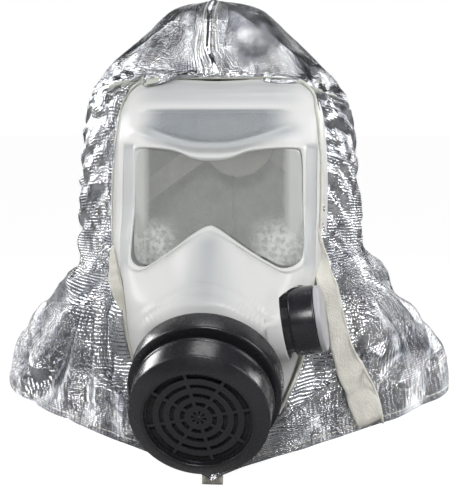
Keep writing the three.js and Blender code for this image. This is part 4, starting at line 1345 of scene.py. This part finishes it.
def grille_object():
    """Flat plate of rings and eight straight spokes, with the slots left open."""
    radii = [GRILLE_INNER] + [r for slot in SLOTS for r in slot] + [GRILLE_OUTER]
    turns = []
    for radius in radii:
        half = min(math.asin(min(SPOKE_WIDTH / 2 / radius, 0.36)), math.pi / SPOKES * 0.8)
        for k in range(SPOKES):
            centre = 2 * math.pi * (k + GRILLE_TURN) / SPOKES
            following = centre + 2 * math.pi / SPOKES
            turns.append(centre - half)
            turns += list(np.linspace(centre + half, following - half, SLOT_STEPS + 1)[:-1])
    turns = np.array(turns).reshape(len(radii), -1)
    rows, columns = turns.shape
    levels = np.array([GRILLE_BACK, GRILLE_FRONT])[:, None, None]
    points = on_axis(PORT_CENTRE, PORT_AXIS, np.array(radii)[:, None], levels, turns)
    low, high = np.arange(2 * rows * columns).reshape(2, rows, columns)

    # Cells between two radii and two turns: every second ring is a slot, open but for its spokes.
    ring, column = np.indices((rows - 1, columns))
    solid = (ring % 2 == 0) | (column % (SLOT_STEPS + 1) == 0)
    faces = []
    for r, c in np.argwhere(solid):
        d, s = (c + 1) % columns, r + 1
        faces.append((high[r, c], high[r, d], high[s, d], high[s, c]))
        faces.append((low[r, c], low[s, c], low[s, d], low[r, d]))
        if r == 0 or not solid[r - 1, c]:
            faces.append((low[r, c], low[r, d], high[r, d], high[r, c]))
        if s == rows - 1 or not solid[s, c]:
            faces.append((low[s, c], high[s, c], high[s, d], low[s, d]))
        if not solid[r, c - 1]:
            faces.append((low[r, c], high[r, c], high[s, c], low[s, c]))
        if not solid[r, d]:
            faces.append((low[r, d], low[s, d], high[s, d], high[r, d]))
    plate = closed_object("grille", points.reshape(-1, 3), faces, smooth=False)
    boolean(plate, turned("hub", HUB, PORT_CENTRE, PORT_AXIS, 24, 0), "UNION")
    return plate


def make_port():
    ring = turned("port_ring_turned", PORT_RING, PORT_CENTRE, PORT_AXIS, PORT_SEGMENTS, 0.9)
    finish(ring, BLACK, "hood", "housing", "port_ring")
    body = turned("canister_body_turned", CANISTER_BODY, PORT_CENTRE, PORT_AXIS, PORT_SEGMENTS, 0.6)
    finish(body, BLACK, "canister", "housing", "canister_body")
    cover = turned("canister_cover_cone", CANISTER_COVER, PORT_CENTRE, PORT_AXIS, PORT_SEGMENTS, 0.8)
    boolean(cover, grille_object(), "UNION")
    finish(cover, BLACK, "canister", "housing", "canister_cover")


def make_valve():
    shell = turned("exhalation_cover_shell", VALVE_COVER, VALVE_CENTRE, VALVE_AXIS, VALVE_SEGMENTS)
    finish(shell, BLACK, "exhalation_hood", "housing", "exhalation_cover")
    disc = turned("exhalation_cap_disc", VALVE_CAP, VALVE_CENTRE, VALVE_AXIS, VALVE_SEGMENTS)
    finish(disc, GREY, "exhalation_hood", "cap", "exhalation_cap")


def dress_cad_nodes():
    """Materials for the CAD pieces inside the hood, which stay as they are."""
    for name, node in frame["nodes"].items():
        for start, material in CAD_LOOKS.items():
            if name.startswith(start):
                give(node, material)
                for polygon in node.data.polygons:
                    polygon.material_index = 0


# ---- stage ----


def make_camera():
    a, e = math.radians(CAMERA_TURN), math.radians(CAMERA_LIFT)
    back = np.array([math.sin(a) * math.cos(e), -math.cos(a) * math.cos(e), math.sin(e)])
    data = bpy.data.cameras.new("camera")
    data.sensor_width = 36
    data.lens = 36 * CAMERA_DISTANCE / VIEW_WIDTH * (PICTURE[0] / PICTURE[1])
    camera = bpy.data.objects.new("camera", data)
    bpy.context.scene.collection.objects.link(camera)
    camera.location = Vector(row(CAMERA_TARGET + back * CAMERA_DISTANCE))
    camera.rotation_euler = Vector(-back).to_track_quat("-Z", "Y").to_euler()
    bpy.context.scene.camera = camera


def make_floor():
    """Pale floor just under the hood: white to the camera, grey in reflections."""
    corners = np.array([[-1, -1, 0], [1, -1, 0], [1, 1, 0], [-1, 1, 0]]) * FLOOR_SIZE
    floor = mesh_object("floor", (corners - ORIGIN) * 1000 - np.array([0, 0, 0.4]), [(0, 1, 2, 3)])
    n = new_material("pale_floor")
    n.set(Base_Color=(0.35, 0.35, 0.35, 1), Roughness=0.9, Emission_Color=(1, 1, 1, 1))
    n.drive(Emission_Strength=n.times(n.camera_ray(), 0.97))
    give(floor, n.owner)


def make_world():
    """Dim surroundings for reflections; white where the camera sees them directly."""
    world = bpy.data.worlds.new("studio")
    bpy.context.scene.world = world
    n = Nodes(world, "ShaderNodeOutputWorld", "ShaderNodeMixShader")
    lit, seen = n.add("ShaderNodeBackground"), n.add("ShaderNodeBackground")
    seen.inputs[0].default_value = (1, 1, 1, 1)
    lit.inputs[1].default_value = SKY_STRENGTH
    height = n.map(n.split(n.coordinates("Generated"))[2], -1, 1, 0, 1)
    n.link(n.ramp(height, [(at, (grey, grey, grey * 1.01)) for at, grey in SKY]), lit.inputs[0])
    for socket, source in zip(n.shader.inputs, (n.camera_ray(), lit.outputs[0], seen.outputs[0])):
        n.link(source, socket)


def make_lamps():
    for name, place_at, size, power in LAMPS:
        data = bpy.data.lights.new(name, "AREA")
        data.size = size / 1000
        data.energy = power
        lamp = bpy.data.objects.new(name, data)
        bpy.context.scene.collection.objects.link(lamp)
        lamp.location = Vector(row(place_at))
        aim = Vector(row(LAMP_TARGET)) - lamp.location
        lamp.rotation_euler = aim.to_track_quat("-Z", "Y").to_euler()


make_hood()
make_face()
make_port()
make_valve()
dress_cad_nodes()
make_camera()
make_floor()
make_world()
make_lamps()
bpy.context.scene.view_settings.view_transform = "Standard"
bpy.context.scene.view_settings.look = "None"
